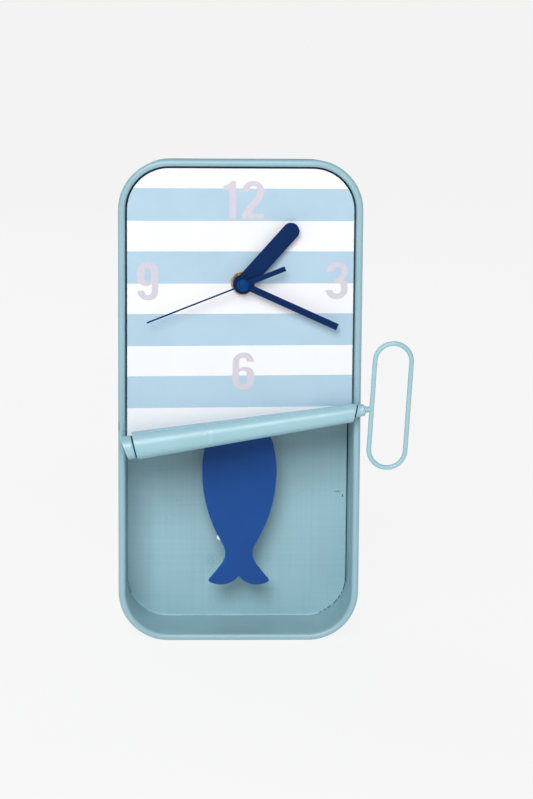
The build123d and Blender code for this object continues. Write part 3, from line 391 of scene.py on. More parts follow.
def sprayed(name, tone, deep, gloss, edge_tone, specks=0.5, peel=0.012, rub=0.35, shine=0.5, coat=0.25,
            brush=0.0, marks=()):
    """Baked spray paint: cloudy tone, rubs, specks, brushed lines, marks, thin edges, gloss and orange peel."""
    material, shader, place = start_material(name, gloss)
    cloud = noise(place, 14.0, 4.0)
    colour = blend(span(cloud, 0.35, 0.65, 0.0, 1.0), deep, tone)
    fine = noise(place, 260.0, 2.0)
    colour = blend(span(fine, 0.3, 0.7, 0.0, 0.22), colour, deep)
    dots = add(place, "ShaderNodeTexVoronoi", {"Vector": place, "Scale": 210.0, "Randomness": 1.0})
    where = span(noise(place, 31.0, 1.0), 0.60, 0.68, 0.0, 1.0)
    speck = span(dots.outputs["Distance"], 0.07, 0.11, 1.0, 0.0)
    speck = times(times(speck, where), specks)
    colour = blend(speck, colour, tuple(0.45 * value for value in deep))
    streak = noise(place, 90.0, 3.0, stretch=(1.0, 1.0, 0.06))
    rubs = span(streak, 0.66, 0.74, 0.0, rub)
    colour = blend(rubs, colour, tuple(min(1.0, 1.18 * value) for value in tone))
    if brush:
        shaded = tuple(0.72 * value for value in deep)
        for stretch in ((1.0, 1.0, 0.015), (0.015, 1.0, 1.0)):
            lines = noise(place, 700.0, 2.0, stretch=stretch)
            colour = blend(span(lines, 0.35, 0.75, 0.0, brush), colour, shaded)
    if marks:
        colour = marked(place, colour, marks)
    flat_normal = add(place, "ShaderNodeNewGeometry").outputs["Normal"]
    round_normal = add(place, "ShaderNodeBevel", {"Radius": 0.9 * MM}, samples=4).outputs[0]
    same = add(place, "ShaderNodeVectorMath", {0: flat_normal, 1: round_normal}, operation="DOT_PRODUCT")
    edge = span(same.outputs["Value"], 0.995, 0.90, 0.0, 0.75)
    patchy = span(noise(place, 120.0, 2.0), 0.35, 0.6, 0.25, 1.0)
    colour = blend(times(edge, patchy), colour, edge_tone)
    feed(shader, "Base Color", colour)
    wander = span(noise(place, 45.0, 3.0), 0.3, 0.7, gloss - 0.06, gloss + 0.08)
    feed(shader, "Roughness", minus(wander, times(rubs, 0.2)))
    skin = plus(noise(place, 620.0, 2.0), times(noise(place, 90.0, 1.0), 1.5))
    rough_skin(shader, minus(skin, times(speck, 2.0)), peel)
    shader.inputs["Specular IOR Level"].default_value = shine
    shader.inputs["Coat Weight"].default_value = coat
    shader.inputs["Coat Roughness"].default_value = 0.28
    return material


TEAL = (0.300, 0.505, 0.570)
TEAL_DEEP = (0.270, 0.462, 0.525)
TEAL_EDGE = (0.50, 0.72, 0.76)
CYAN, ORANGE, SCUFF_BLUE = (0.03, 0.52, 0.85), (0.66, 0.45, 0.20), (0.03, 0.33, 0.50)
DARK_TEAL, GREY = (0.015, 0.10, 0.15), (0.16, 0.27, 0.31)
teal_paint = sprayed("teal_paint", TEAL, TEAL_DEEP, 0.42, TEAL_EDGE)
# The wall's teal is a darker copy of the same paint, painted shade for the wall and its rim.
shaded_wall_paint = sprayed("shaded_wall_paint", (0.262, 0.436, 0.495), (0.236, 0.400, 0.455), 0.42, TEAL_EDGE,
                     marks=[(-76.6, -143.9, 0.3, 4.2, DARK_TEAL, False)])
roll_paint = sprayed("roll_paint", TEAL, TEAL_DEEP, 0.40, TEAL_EDGE, marks=[
    (-22.2, -145.6, 0.75, 0.75, ORANGE, False), (-65.3, -156.4, 0.7, 1.7, CYAN, False)])
plate_paint = sprayed("plate_paint", TEAL, TEAL_DEEP, 0.46, TEAL_EDGE, brush=0.17, marks=[
    (-16.4, -242.5, 5.0, 5.5, SCUFF_BLUE, True), (20.5, -240.0, 3.0, 4.0, SCUFF_BLUE, True),
    (65.6, -195.8, 2.0, 0.7, GREY, False), (69.0, -198.5, 0.5, 1.0, DARK_TEAL, False)])
fish_paint = sprayed("fish_paint", (0.012, 0.070, 0.270), (0.009, 0.056, 0.225), 0.42, (0.03, 0.20, 0.52),
                     specks=0.15, peel=0.008, rub=0.12, shine=0.12, coat=0.0)
navy_paint = sprayed("navy_paint", (0.002, 0.022, 0.095), (0.002, 0.017, 0.078), 0.38, (0.006, 0.045, 0.17),
                     specks=0.1, peel=0.005, rub=0.1, shine=0.08, coat=0.0)
print("painted finishes:", teal_paint.name, fish_paint.name, navy_paint.name)

# %% [markdown]
# ## Printed dial
#
# The dial is a steel plate printed in white and pale blue bars, each about twenty millimetres high. Print is
# crisp but not perfect: its edges feather by a tenth of a millimetre and the ink is a little uneven.
# The bars are worked out from the height above the hand shaft, so the pattern stays true at any size.
# The back of the plate has only its grey primer, found from the way the surface faces.

# %% Dial print
hub = Vector((1.5, 0.0, -52.2)) * MM
PRINT_BLUR = 0.00006
BARS = ((0.0, 20.4), (39.6, 60.0), (-39.6, -19.2), (-79.2, -58.8))
dial_print, shader, place = start_material("dial_print", 0.38)
axes = add(place, "ShaderNodeSeparateXYZ", {"Vector": place})
height = minus(axes.outputs["Z"], hub.z)
skew = span(height, -0.080, 0.060, 0.0115, 0.0)
height = minus(height, times(axes.outputs["X"], skew))
feather = span(noise(place, 1500.0, 2.0), 0.3, 0.7, -0.00008, 0.00008)
height = plus(height, feather)
inked = None
for low, top in BARS:
    off = math("ABSOLUTE", minus(height, (low + top) / 2 * MM))
    half = (top - low) / 2 * MM
    bar = span(off, half - PRINT_BLUR, half + PRINT_BLUR, 1.0, 0.0)
    inked = bar if inked is None else plus(inked, bar)
mottle = span(noise(place, 38.0, 4.0), 0.35, 0.65, 0.0, 1.0)
white = blend(mottle, (0.720, 0.735, 0.775), (0.750, 0.763, 0.797))
blue = blend(mottle, (0.345, 0.490, 0.605), (0.370, 0.515, 0.630))
grain = span(noise(place, 2600.0, 1.0), 0.3, 0.7, 0.0, 0.10)
blue = blend(grain, blue, (0.46, 0.61, 0.72))
colour = blend(inked, white, blue)
facing = add(place, "ShaderNodeSeparateXYZ", {"Vector": add(place, "ShaderNodeTexCoord").outputs["Normal"]})
rear = span(facing.outputs["Y"], 0.2, 0.3, 0.0, 1.0)
colour = blend(rear, colour, blend(mottle, (0.50, 0.52, 0.53), (0.56, 0.58, 0.59)))
feed(shader, "Base Color", colour)
feed(shader, "Roughness", span(noise(place, 60.0, 3.0), 0.3, 0.7, 0.34, 0.46))
rough_skin(shader, plus(noise(place, 500.0, 2.0), times(inked, 1.2)), 0.006)

numeral_ink, shader, place = start_material("numeral_ink", 0.45)
uneven = span(noise(place, 420.0, 3.0), 0.35, 0.65, 0.0, 1.0)
feed(shader, "Base Color", blend(uneven, (0.515, 0.490, 0.560), (0.545, 0.515, 0.580)))
rough_skin(shader, noise(place, 1800.0, 2.0), 0.004)
print("dial print with", len(BARS), "blue bars")

# %% [markdown]
# ## Plain metals
#
# The washer, nut and neck are turned brass, the screws and posts are zinc plated steel, and the pins and
# contacts are nickel plated. Turning leaves fine rings, plating leaves a soft cloud, and both dull where
# they are handled. A metal's colour lies in its reflection, so these stay metallic and differ in tone.


# %% Metal maker
METAL_GRAIN = 0.004


def metal(name, tone, dull, gloss, scale=300.0, stretch=None):
    """Bare or plated metal with a tool grain, a cloud of tarnish and uneven gloss."""
    material, shader, place = start_material(name, gloss, 1.0)
    cloud = span(noise(place, 70.0, 4.0), 0.35, 0.7, 0.0, 1.0)
    grain = noise(place, scale, 2.0, stretch=stretch)
    colour = blend(cloud, tone, dull)
    colour = blend(span(grain, 0.3, 0.7, 0.0, 0.35), colour, dull)
    feed(shader, "Base Color", colour)
    feed(shader, "Roughness", span(grain, 0.3, 0.7, gloss - 0.07, gloss + 0.10))
    rough_skin(shader, grain, METAL_GRAIN)
    return material


brass = metal("turned_brass", (0.62, 0.44, 0.20), (0.42, 0.29, 0.13), 0.30, 900.0)
zinc = metal("zinc_plate", (0.60, 0.62, 0.64), (0.42, 0.45, 0.47), 0.36, 500.0)
nickel = metal("nickel_plate", (0.66, 0.64, 0.60), (0.48, 0.46, 0.42), 0.22, 700.0, stretch=(1, 1, 0.1))
copper = metal("enamelled_copper", (0.58, 0.23, 0.10), (0.40, 0.14, 0.06), 0.28, 1500.0, stretch=(0.1, 1, 1))
rod_brass = metal("drawn_brass", (0.60, 0.45, 0.22), (0.40, 0.30, 0.15), 0.34, 900.0, stretch=(1, 1, 0.05))
print("metals:", brass.name, zinc.name, nickel.name, copper.name, rod_brass.name)

# %% [markdown]
# ## Moulded plastics
#
# The movement is moulded in black plastic whose tool was etched to a fine even texture, and its wheels
# are white acetal with flow lines. Mouldings show sink marks and slightly shinier flats, so one maker
# gives tone, cloud, texture depth and gloss.


# %% Plastic maker
def moulded(name, tone, light, gloss, grain_scale=1400.0, depth=0.012, sheen=False, shine=0.5):
    """Moulded plastic: an etched skin, slow flow clouds and handled shine."""
    material, shader, place = start_material(name, gloss)
    flow = span(noise(place, 55.0, 3.0, stretch=(1, 1, 0.3)), 0.35, 0.65, 0.0, 1.0)
    colour = blend(flow, tone, light)
    etched = add(place, "ShaderNodeTexVoronoi", {"Vector": place, "Scale": grain_scale}).outputs["Distance"]
    colour = blend(span(etched, 0.0, 0.5, 0.0, 0.25), colour, light)
    feed(shader, "Base Color", colour)
    feed(shader, "Roughness", span(noise(place, 120.0, 2.0), 0.3, 0.7, gloss - 0.08, gloss + 0.08))
    rough_skin(shader, etched, depth)
    shader.inputs["Specular IOR Level"].default_value = shine
    if sheen:
        shader.inputs["Subsurface Weight"].default_value = 0.12
        shader.inputs["Subsurface Radius"].default_value = (0.0012, 0.0011, 0.0010)
        shader.inputs["Subsurface Scale"].default_value = 1.0
    return material


# A dark steel colour painted into the gaps and grooves as their shade.
seam_shade = metal("painted_seam_shade", (0.020, 0.075, 0.100), (0.012, 0.045, 0.065), 0.55, 300.0)
black_plastic = moulded("black_housing", (0.012, 0.012, 0.013), (0.024, 0.024, 0.026), 0.48)
rubber = moulded("gasket_rubber", (0.010, 0.010, 0.010), (0.018, 0.018, 0.018), 0.72, 900.0, 0.02)
acetal = moulded("white_acetal", (0.76, 0.76, 0.72), (0.82, 0.82, 0.79), 0.38, 1800.0, 0.004, sheen=True)
cap_blue = moulded("cap_blue", (0.001, 0.034, 0.150), (0.001, 0.042, 0.175), 0.36, 2200.0, 0.003, shine=0.08)
board_green = moulded("board_green", (0.010, 0.070, 0.030), (0.030, 0.130, 0.060), 0.34, 420.0, 0.010)
magnet_dark = metal("magnet_plate", (0.62, 0.62, 0.63), (0.45, 0.45, 0.47), 0.14, 400.0)

battery_wrap, shader, place = start_material("battery_wrap", 0.24)
axes = add(place, "ShaderNodeSeparateXYZ", {"Vector": place})
cell_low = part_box("battery")[0]
cell_x = minus(axes.outputs["X"], cell_low.x)
band = span(cell_x, 0.0135, 0.0137, 0.0, 1.0)
thin = span(math("ABSOLUTE", minus(cell_x, 0.0155)), 0.0003, 0.0004, 1.0, 0.0)
print_cloud = span(noise(place, 160.0, 3.0), 0.3, 0.7, 0.0, 1.0)
wrap_green = blend(print_cloud, (0.030, 0.150, 0.110), (0.040, 0.180, 0.130))
wrap_grey = blend(print_cloud, (0.40, 0.41, 0.42), (0.46, 0.47, 0.48))
colour = blend(thin, blend(band, wrap_green, wrap_grey), (0.75, 0.75, 0.74))
feed(shader, "Base Color", colour)
feed(shader, "Roughness", span(print_cloud, 0.0, 1.0, 0.18, 0.30))
rough_skin(shader, noise(place, 260.0, 3.0, stretch=(0.2, 1, 1)), 0.01)
print("plastics and the battery's wrapper")

# %% [markdown]
# ## The tin's wall and curled rim
#
# The wall of a tin is one strip of sheet bent round in a rounded rectangle. Its front edge is curled outwards
# into a bead, so no sharp edge is left, and its rear edge is turned in to carry the back plate. A section
# that runs along a path is exactly what Curve to Mesh does, so the section is drawn once and the
# tree sweeps it. Real pressed sheet is never quite true, so a slow ripple of a tenth of a millimetre
# moves the surface a little, and the light on the bead breaks up as it does on the real one.

# %% Tin wall
CASE_W, CASE_H, CASE_D, CORNER, SHEET = 154.0, 310.0, 48.6, 32.0, 0.8
CURL, FLANGE, BEND, CURL_END = 2.25, 6.0, 1.6, 290
MID_Z = -129.0
INSET = 2 * CURL
RIM_OUT = CASE_D - SHEET


def arc(centre, radius, start, end, count):
    """Points on an arc, angles in degrees."""
    return [
        (centre[0] + radius * cos(radians(start + (end - start) * i / count)),
         centre[1] + radius * sin(radians(start + (end - start) * i / count)))
        for i in range(count + 1)
    ]


level_out = RIM_OUT - CURL
section = [(INSET + FLANGE, 0.0), (INSET + BEND, 0.0)]
section += arc((INSET + BEND - SHEET, BEND - SHEET), BEND - SHEET, 270, 180, 6)
section += arc((CURL, level_out), CURL, 0, CURL_END, 40)
middle_r, curl_turn = CURL - SHEET / 2, radians(CURL_END)
tip = (CURL + middle_r * cos(curl_turn), level_out + middle_r * sin(curl_turn))
section += arc(tip, SHEET / 2, CURL_END, CURL_END + 180, 6)[1:-1]
section += arc((CURL, level_out), CURL - SHEET, CURL_END, 0, 36)
section += arc((INSET - SHEET + BEND, BEND - SHEET), BEND, 180, 270, 10)
section += [(INSET + FLANGE, -SHEET)]
section += arc((INSET + FLANGE, -SHEET / 2), SHEET / 2, -90, 90, 6)[1:-1]
line = bpy.data.meshes.new("wall_section")
line.from_pydata(
    [(-inset * MM, -out * MM, 0) for inset, out in section],
    [(i, (i + 1) % len(section)) for i in range(len(section))],
    [],
)
tree, given = new_tree("swept_wall", {"Width": 0.1, "Height": 0.2, "Corner": 0.02, "Corner Points": 16,
                                      "Ripple": 0.0001, "Ripple Scale": 14.0})
profile = add(tree, "GeometryNodeMeshToCurve", {"Mesh": given["Geometry"]})
outline = add(tree, "GeometryNodeCurvePrimitiveQuadrilateral", {"Width": given["Width"], "Height": given["Height"]})
path = add(tree, "GeometryNodeFilletCurve",
           {"Curve": outline, "Count": given["Corner Points"], "Radius": given["Corner"]},
           mode="POLY")
even = add(tree, "GeometryNodeResampleCurve", {"Curve": path, "Length": 0.004}, mode="LENGTH")
swept = add(tree, "GeometryNodeCurveToMesh", {"Curve": even, "Profile Curve": profile})
rippled = drifted(tree, swept, given["Ripple Scale"], given["Ripple"], 1.0)
close_tree(tree, rippled, shaded_wall_paint)
tin_wall = grown("tin_wall", line, tree, {"Width": CASE_W * MM, "Height": CASE_H * MM, "Corner": CORNER * MM,
                                          "Corner Points": 26, "Ripple": 0.00018})
tin_wall.data.transform(Matrix.Translation((0, 0, MID_Z * MM)) @ UPRIGHT)
tidy_mesh(tin_wall, sharp=40)
fit(tin_wall, "case", "teal_paint", "case_wall")

# %% [markdown]
# ## Back plate and dial plate
#
# Both plates are flat sheet with a burred, then painted edge. The solids have the right outline and holes,
# so each piece is a copy of its solid with the doubles merged and the edges rounded by a bevel, which is what
# paint does to a cut edge. The dial keeps a smaller rounding than the back plate, and the back plate's right
# edge stops a little short, which leaves a wider gap there.

# %% Plates
PLATE_SHORT, EDGE_BAND = 0.55, 0.2
back_panel = softened("back_plate", "back_panel", 0.25)
right_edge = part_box("back_plate")[1].x
for vertex in back_panel.data.vertices:
    if vertex.co.x > right_edge - EDGE_BAND * MM:
        vertex.co.x -= PLATE_SHORT * MM
fit(back_panel, "case", "teal_paint", "back_plate", material=plate_paint)
dial_sheet = softened("dial_plate", "dial_sheet", 0.12)
fit(dial_sheet, "case", "dial_print", "dial_plate", material=dial_print)

# %% [markdown]
# ### Folded lower edge
#
# Along the bottom the plate's edge is turned down against the wall, and the small round of that fold catches
# the light as a pale line. A bar of the fold's radius, swept by a tree along the gap, stands for it. The same
# tree sweeps a dark bar, set deeper, down the right side, where the gap is open: its dark colour is painted shade.

# %% Fold along the bottom
PLATE_GAP, BEAD_OUT, FOLD_OUT, GAP_OUT = 0.4, 0.35, 0.72, -0.4
plate_half_w = CASE_W / 2 - INSET - PLATE_GAP
plate_half_h = CASE_H / 2 - INSET - PLATE_GAP
bend_r = CORNER - INSET - PLATE_GAP


def corner_point(side, angle, out):
    """A point in the gap round a lower corner, at an angle in degrees from straight down."""
    x = side * (plate_half_w - bend_r + bend_r * sin(radians(angle)))
    z = MID_Z - plate_half_h + bend_r - bend_r * cos(radians(angle))
    return x * MM, -out * MM, z * MM


def strand_mesh(name, points):
    """An open line of edges through some points."""
    mesh = bpy.data.meshes.new(name)
    mesh.from_pydata(points, [(i, i + 1) for i in range(len(points) - 1)], [])
    return mesh


tree, given = new_tree("folded_edge", {"Fold Radius": 0.0005, "Sides": 12})
strand = add(tree, "GeometryNodeMeshToCurve", {"Mesh": given["Geometry"]})
fold_ring = add(tree, "GeometryNodeCurvePrimitiveCircle",
                {"Resolution": given["Sides"], "Radius": given["Fold Radius"]})
fold_bar = add(tree, "GeometryNodeCurveToMesh", {"Curve": strand, "Profile Curve": fold_ring, "Fill Caps": True})
close_tree(tree, fold_bar, teal_paint)
fold_line = [corner_point(-1, a, FOLD_OUT) for a in range(64, -1, -4)]
fold_line += [corner_point(1, a, FOLD_OUT) for a in range(0, 21, 4)]
plate_fold = grown("plate_fold", strand_mesh("fold_line", fold_line), tree, {"Fold Radius": 0.00052, "Sides": 12})
tidy_mesh(plate_fold)
fit(plate_fold, "case", "teal_paint")
# A dark bar down the right side, painted shade for the open gap.
gap_line = [(plate_half_w * MM, -GAP_OUT * MM, z * MM) for z in (-150.0, -190.0, -230.0)]
gap_line += [corner_point(1, a, GAP_OUT) for a in range(90, 21, -4)]
painted_gap_shade = grown("painted_gap_shade", strand_mesh("gap_line", gap_line), tree, {"Fold Radius": 0.00068, "Sides": 12})
tidy_mesh(painted_gap_shade)
fit(painted_gap_shade, "case", "teal_paint", material=seam_shade)

# %% [markdown]
# ### Paint that bridged the gap
#
# The back plate sits in the wall with a narrow gap. In the lower corners the spray has bridged it in places,
# so the dark line breaks into dashes. Small blobs strung along the corner by a tree with a fixed seed give
# that, and cost only a few faces each.

# %% Paint beads in the corners
tree, given = new_tree("strung_beads", {"Spacing": 0.001, "Least": 0.5, "Most": 1.0, "Bead Radius": 0.0005, "Seed": 3})
strand = add(tree, "GeometryNodeMeshToCurve", {"Mesh": given["Geometry"]})
spots = add(tree, "GeometryNodeCurveToPoints", {"Curve": strand, "Length": given["Spacing"]}, mode="LENGTH")
ball = add(tree, "GeometryNodeMeshIcoSphere", {"Radius": given["Bead Radius"], "Subdivisions": 2})
chance = add(tree, "FunctionNodeRandomValue", {"Probability": 0.62, "Seed": given["Seed"]}, data_type="BOOLEAN")
size = add(tree, "FunctionNodeRandomValue", {2: given["Least"], 3: given["Most"], "Seed": given["Seed"]},
           data_type="FLOAT")
strung = add(tree, "GeometryNodeInstanceOnPoints",
             {"Points": spots, "Selection": chance.outputs[3], "Instance": ball,
              "Rotation": spots.outputs["Rotation"], "Scale": size.outputs[1]})
close_tree(tree, strung, teal_paint)
for label, side, start, end, seed in (("right", 1, 22, 66, 3), ("left", -1, 66, 84, 8)):
    corner = strand_mesh(f"corner_{label}", [corner_point(side, a, BEAD_OUT) for a in range(start, end + 1, 2)])
    beads = grown(f"paint_beads_{label}", corner, tree,
                  {"Spacing": 0.0012, "Least": 0.75, "Most": 1.15, "Bead Radius": 0.00052, "Seed": seed})
    beads.data.shade_smooth()
    fit(beads, "case", "teal_paint")

# %% [markdown]
# ## Numerals
#
# Only 12, 3, 6 and 9 are printed, in a bold narrow face about 24 mm high. A screen print leaves a film of ink
# with a real edge, so each numeral is a thin solid laid on the dial. Outlines are given in millimetres from
# the hand shaft. A third value marks a corner that stays sharp, and a smooth curve runs between the others.

# %% Numeral outlines
NUMERALS = {
    "1": ([
        (-4.5, 41.0, 1), (-4.5, 64.7, 1), (-7.4, 64.7, 1), (-9.5, 62.6), (-12.4, 61.6, 1), (-12.5, 58.9, 1),
        (-8.8, 58.9, 1), (-8.8, 41.0, 1)
    ], []),
    "2": ([
        (-0.9, 57.8, 1), (-0.6, 59.6), (0.2, 61.5), (1.5, 63.1), (3.3, 64.3), (6.2, 64.8), (9.1, 64.3),
        (11.0, 63.1), (12.4, 61.2), (13.1, 58.8), (12.8, 56.7), (11.9, 54.1), (10.4, 51.5), (8.3, 48.9),
        (6.2, 46.7), (4.5, 44.3, 1), (13.0, 44.3, 1), (13.0, 41.0, 1), (-1.1, 41.0, 1), (-0.8, 43.2), (0.2, 45.3),
        (2.3, 48.3), (4.3, 50.8), (6.4, 53.4), (8.0, 55.7), (8.8, 57.5), (8.9, 59.1), (8.4, 60.5), (7.4, 61.3),
        (6.2, 61.5), (5.0, 61.3), (4.0, 60.5), (3.4, 59.3), (3.2, 57.8, 1)
    ], []),
    "3": ([
        (52.8, 7.6, 1), (53.2, 9.6), (54.1, 11.5), (55.6, 13.0), (57.6, 13.7), (59.8, 13.9), (61.9, 13.6),
        (63.7, 12.7), (65.1, 11.3), (65.9, 9.6), (66.0, 7.9), (65.7, 6.0), (64.8, 4.3), (63.7, 3.1, 1), (64.9, 1.6),
        (65.9, -0.4), (66.3, -2.6), (66.1, -4.6), (65.4, -6.5), (64.0, -8.0), (61.9, -9.2), (59.4, -9.8),
        (56.9, -9.5), (54.9, -8.4), (53.3, -6.8), (52.4, -5.0), (52.2, -4.0, 1), (56.5, -3.8, 1), (56.8, -4.8),
        (57.6, -5.8), (59.2, -6.2), (60.6, -6.0), (61.6, -5.2), (62.0, -3.8), (62.0, -2.2), (61.7, -0.7),
        (60.9, 0.1), (59.7, 0.7), (57.6, 1.0, 1), (57.5, 3.0, 1), (59.4, 3.6), (60.9, 4.6), (61.9, 6.0),
        (62.1, 7.7), (61.8, 9.4), (60.9, 10.3), (59.7, 10.7), (58.3, 10.3), (57.5, 9.3), (57.1, 7.6, 1)
    ], []),
    "6": ([
        (7.6, -49.9, 1), (7.0, -48.0), (5.9, -46.3), (4.3, -44.8), (2.8, -44.2), (1.0, -44.0), (-1.1, -44.4),
        (-3.2, -45.3), (-5.0, -47.0), (-5.9, -49.0), (-6.1, -51.9), (-6.2, -60.6), (-6.0, -63.0), (-5.5, -64.7),
        (-4.4, -66.2), (-2.6, -67.3), (-0.6, -67.9), (1.0, -67.9), (2.8, -67.7), (4.6, -66.9), (6.1, -65.6),
        (7.0, -64.0), (7.5, -62.1), (7.6, -58.2), (7.2, -56.5), (6.3, -54.9), (4.8, -53.8), (3.3, -53.4),
        (1.5, -53.3), (-0.1, -53.5), (-1.9, -54.4, 1), (-1.9, -49.5), (-1.5, -48.5), (-0.6, -47.8), (0.8, -47.5),
        (2.0, -47.7), (2.6, -48.5), (2.9, -49.9, 1)
    ], [
        (-1.9, -57.2), (-1.6, -56.4), (-0.7, -55.8), (0.7, -55.6), (2.0, -56.0), (2.7, -57.0), (2.9, -58.7),
        (2.9, -62.1), (2.6, -63.5), (1.7, -64.3), (0.7, -64.4), (-0.6, -64.1), (-1.5, -63.3), (-1.9, -62.0)
    ]),
    "9": ([
        (-66.2, -4.8, 1), (-66.0, -6.5), (-65.4, -7.9), (-63.9, -9.6), (-62.0, -10.6), (-59.6, -10.8),
        (-57.2, -10.6), (-55.5, -9.7), (-53.9, -8.2), (-53.4, -6.3), (-53.2, -3.4), (-53.2, 8.2), (-53.4, 9.9),
        (-54.3, 11.1), (-55.7, 12.4), (-57.7, 13.0), (-59.8, 13.2), (-62.0, 13.0), (-63.9, 12.2), (-65.6, 10.7),
        (-66.4, 9.0), (-66.6, 7.3), (-66.6, 3.4), (-66.2, 1.7), (-65.4, 0.3), (-63.9, -1.1), (-62.3, -1.7),
        (-60.6, -1.9), (-58.9, -1.4), (-57.3, -0.5, 1), (-57.4, -5.3), (-57.8, -6.5), (-58.6, -7.3), (-59.7, -7.7),
        (-60.8, -7.4), (-61.6, -6.3), (-61.9, -4.8, 1)
    ], [
        (-61.9, 7.3), (-61.7, 8.5), (-60.8, 9.2), (-59.7, 9.3), (-58.6, 9.2), (-57.9, 8.2), (-57.8, 7.0),
        (-57.8, 2.7), (-58.1, 1.5), (-59.0, 0.9), (-59.8, 0.7), (-60.9, 1.0), (-61.7, 2.0), (-61.9, 3.2)
    ]),
}


def smooth_outline(points, steps=5):
    """A closed outline through the points, curved except at the marked corners."""
    count, result = len(points), []
    for i in range(count):
        here, after = points[i], points[(i + 1) % count]
        before, beyond = points[i - 1], points[(i + 2) % count]
        leave = [(after[k] - here[k]) if len(here) > 2 else (after[k] - before[k]) / 2 for k in (0, 1)]
        arrive = [(after[k] - here[k]) if len(after) > 2 else (beyond[k] - here[k]) / 2 for k in (0, 1)]
        for step in range(steps):
            t = step / steps
            a, b = 2 * t**3 - 3 * t**2 + 1, t**3 - 2 * t**2 + t
            c, d = -2 * t**3 + 3 * t**2, t**3 - t**2
            result.append([a * here[k] + b * leave[k] + c * after[k] + d * arrive[k] for k in (0, 1)])
    return result


dial_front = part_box("dial_plate")[0].y
INK = 0.05
for figure, (outer, hole) in NUMERALS.items():
    curve = bpy.data.curves.new("figure", "CURVE")
    curve.dimensions, curve.fill_mode, curve.extrude = "2D", "BOTH", INK / 2 * MM
    for loop in filter(None, (outer, hole)):
        spline = curve.splines.new("POLY")
        ring = smooth_outline(loop)
        spline.points.add(len(ring) - 1)
        for point, (x, z) in zip(spline.points, ring):
            point.co = (x * MM, z * MM, 0, 1)
        spline.use_cyclic_u = True
    holder = bpy.data.objects.new("holder", curve)
    bpy.context.scene.collection.objects.link(holder)
    mesh = baked(holder)
    bpy.data.objects.remove(holder)
    mesh.transform(Matrix.Translation((hub.x, dial_front - INK / 2 * MM, hub.z)) @ UPRIGHT)
    numeral = show(mesh, f"numeral_{figure}")
    tidy_mesh(numeral)
    fit(numeral, "case", "dial_print", material=numeral_ink)

# %% [markdown]
# ## The rolled lid
#
# The lid has been wound on the key, wide at the left and narrow at the right, so it is a cone of sheet. What
# shows is the outer turn with its free edge, the inner turn that sticks out at both ends, and the coil in the
# open left end. A tree bends a flat grid round: one direction runs along the roll, the other winds round
# it, and the radius falls with both. Solidify then gives the sheet its thickness.

# %% Roll tree
LEFT_R, RIGHT_R, LID_LIFT = 8.95, 5.7, 0.3
LEFT_SLANT, RIGHT_SLANT, CORE_SLANT = tan(radians(5.4)), tan(radians(19.0)), tan(radians(12.5))
LID_LEFT = Vector((-66.4, -(RIM_OUT + LID_LIFT + LEFT_R), MID_Z - 25.15))
LID_RIGHT = Vector((72.6, -(RIM_OUT + LID_LIFT + RIGHT_R), MID_Z - 4.5))
CORE_LEFT = LID_LEFT + Vector((0, 0, -0.6))
CORE_RIGHT = LID_RIGHT + Vector((0, 0, 0.9))
core_span, core_line = (CORE_RIGHT - CORE_LEFT).length, (CORE_RIGHT - CORE_LEFT).normalized()


def roll_frame(left, right):
    """Matrix whose X runs along the roll from its left end, Y faces the viewer and Z points down, in metres."""
    along = (right - left).normalized()
    toward = Vector((0, -1, 0))
    toward = (toward - along * toward.dot(along)).normalized()
    down = along.cross(toward)
    turn = Matrix((along, toward, down)).transposed().to_4x4()
    return Matrix.Translation(left * MM) @ turn


tree, given = new_tree("wound_sheet", {
    "Length": 0.14, "Start": 0.0, "Left Radius": 0.009, "Right Radius": 0.006, "First Angle": 0.0, "Turns": 1.0,
    "Closing": 0.0, "Left Slant": 0.0, "Right Slant": 0.0, "Dent": 0.0001, "Along": 60, "Round": 90})
sheet_grid = add(tree, "GeometryNodeMeshGrid", {
    "Size X": 1.0, "Size Y": 1.0, "Vertices X": given["Along"], "Vertices Y": given["Round"]})
flat = add(tree, "ShaderNodeSeparateXYZ", {"Vector": add(tree, "GeometryNodeInputPosition").outputs[0]})
u = plus(flat.outputs["X"], 0.5)
v = plus(flat.outputs["Y"], 0.5)
winding = times(v, given["Turns"])
angle = plus(times(winding, 2 * pi), given["First Angle"])
station = plus(times(u, given["Length"]), given["Start"])
fall = minus(given["Right Radius"], given["Left Radius"])
share = math("DIVIDE", station, core_span * MM)
radius = plus(given["Left Radius"], times(fall, share))
closing = minus(1.0, times(winding, given["Closing"]))
radius = times(radius, closing)
cosine, sine = math("COSINE", angle), math("SINE", angle)
dents = add(tree, "ShaderNodeCombineXYZ", {"X": station, "Y": times(cosine, 0.01), "Z": times(sine, 0.01)})
wobble = add(tree, "ShaderNodeTexNoise", {"Vector": dents, "Scale": 38.0, "Detail": 1.0}).outputs["Fac"]
radius = plus(radius, times(minus(wobble, 0.5), given["Dent"]))
toward, down = times(radius, cosine), times(radius, sine)
leftward = times(given["Left Slant"], minus(1.0, u))
lean = minus(leftward, times(given["Right Slant"], u))
along_roll = plus(station, times(down, lean))
bent = add(tree, "ShaderNodeCombineXYZ", {"X": along_roll, "Y": toward, "Z": down})
placed = add(tree, "GeometryNodeSetPosition", {"Geometry": sheet_grid, "Position": bent})
close_tree(tree, placed, roll_paint)
wound_sheet = tree
dot = bpy.data.meshes.new("dot")
dot.from_pydata([(0, 0, 0)], [], [])


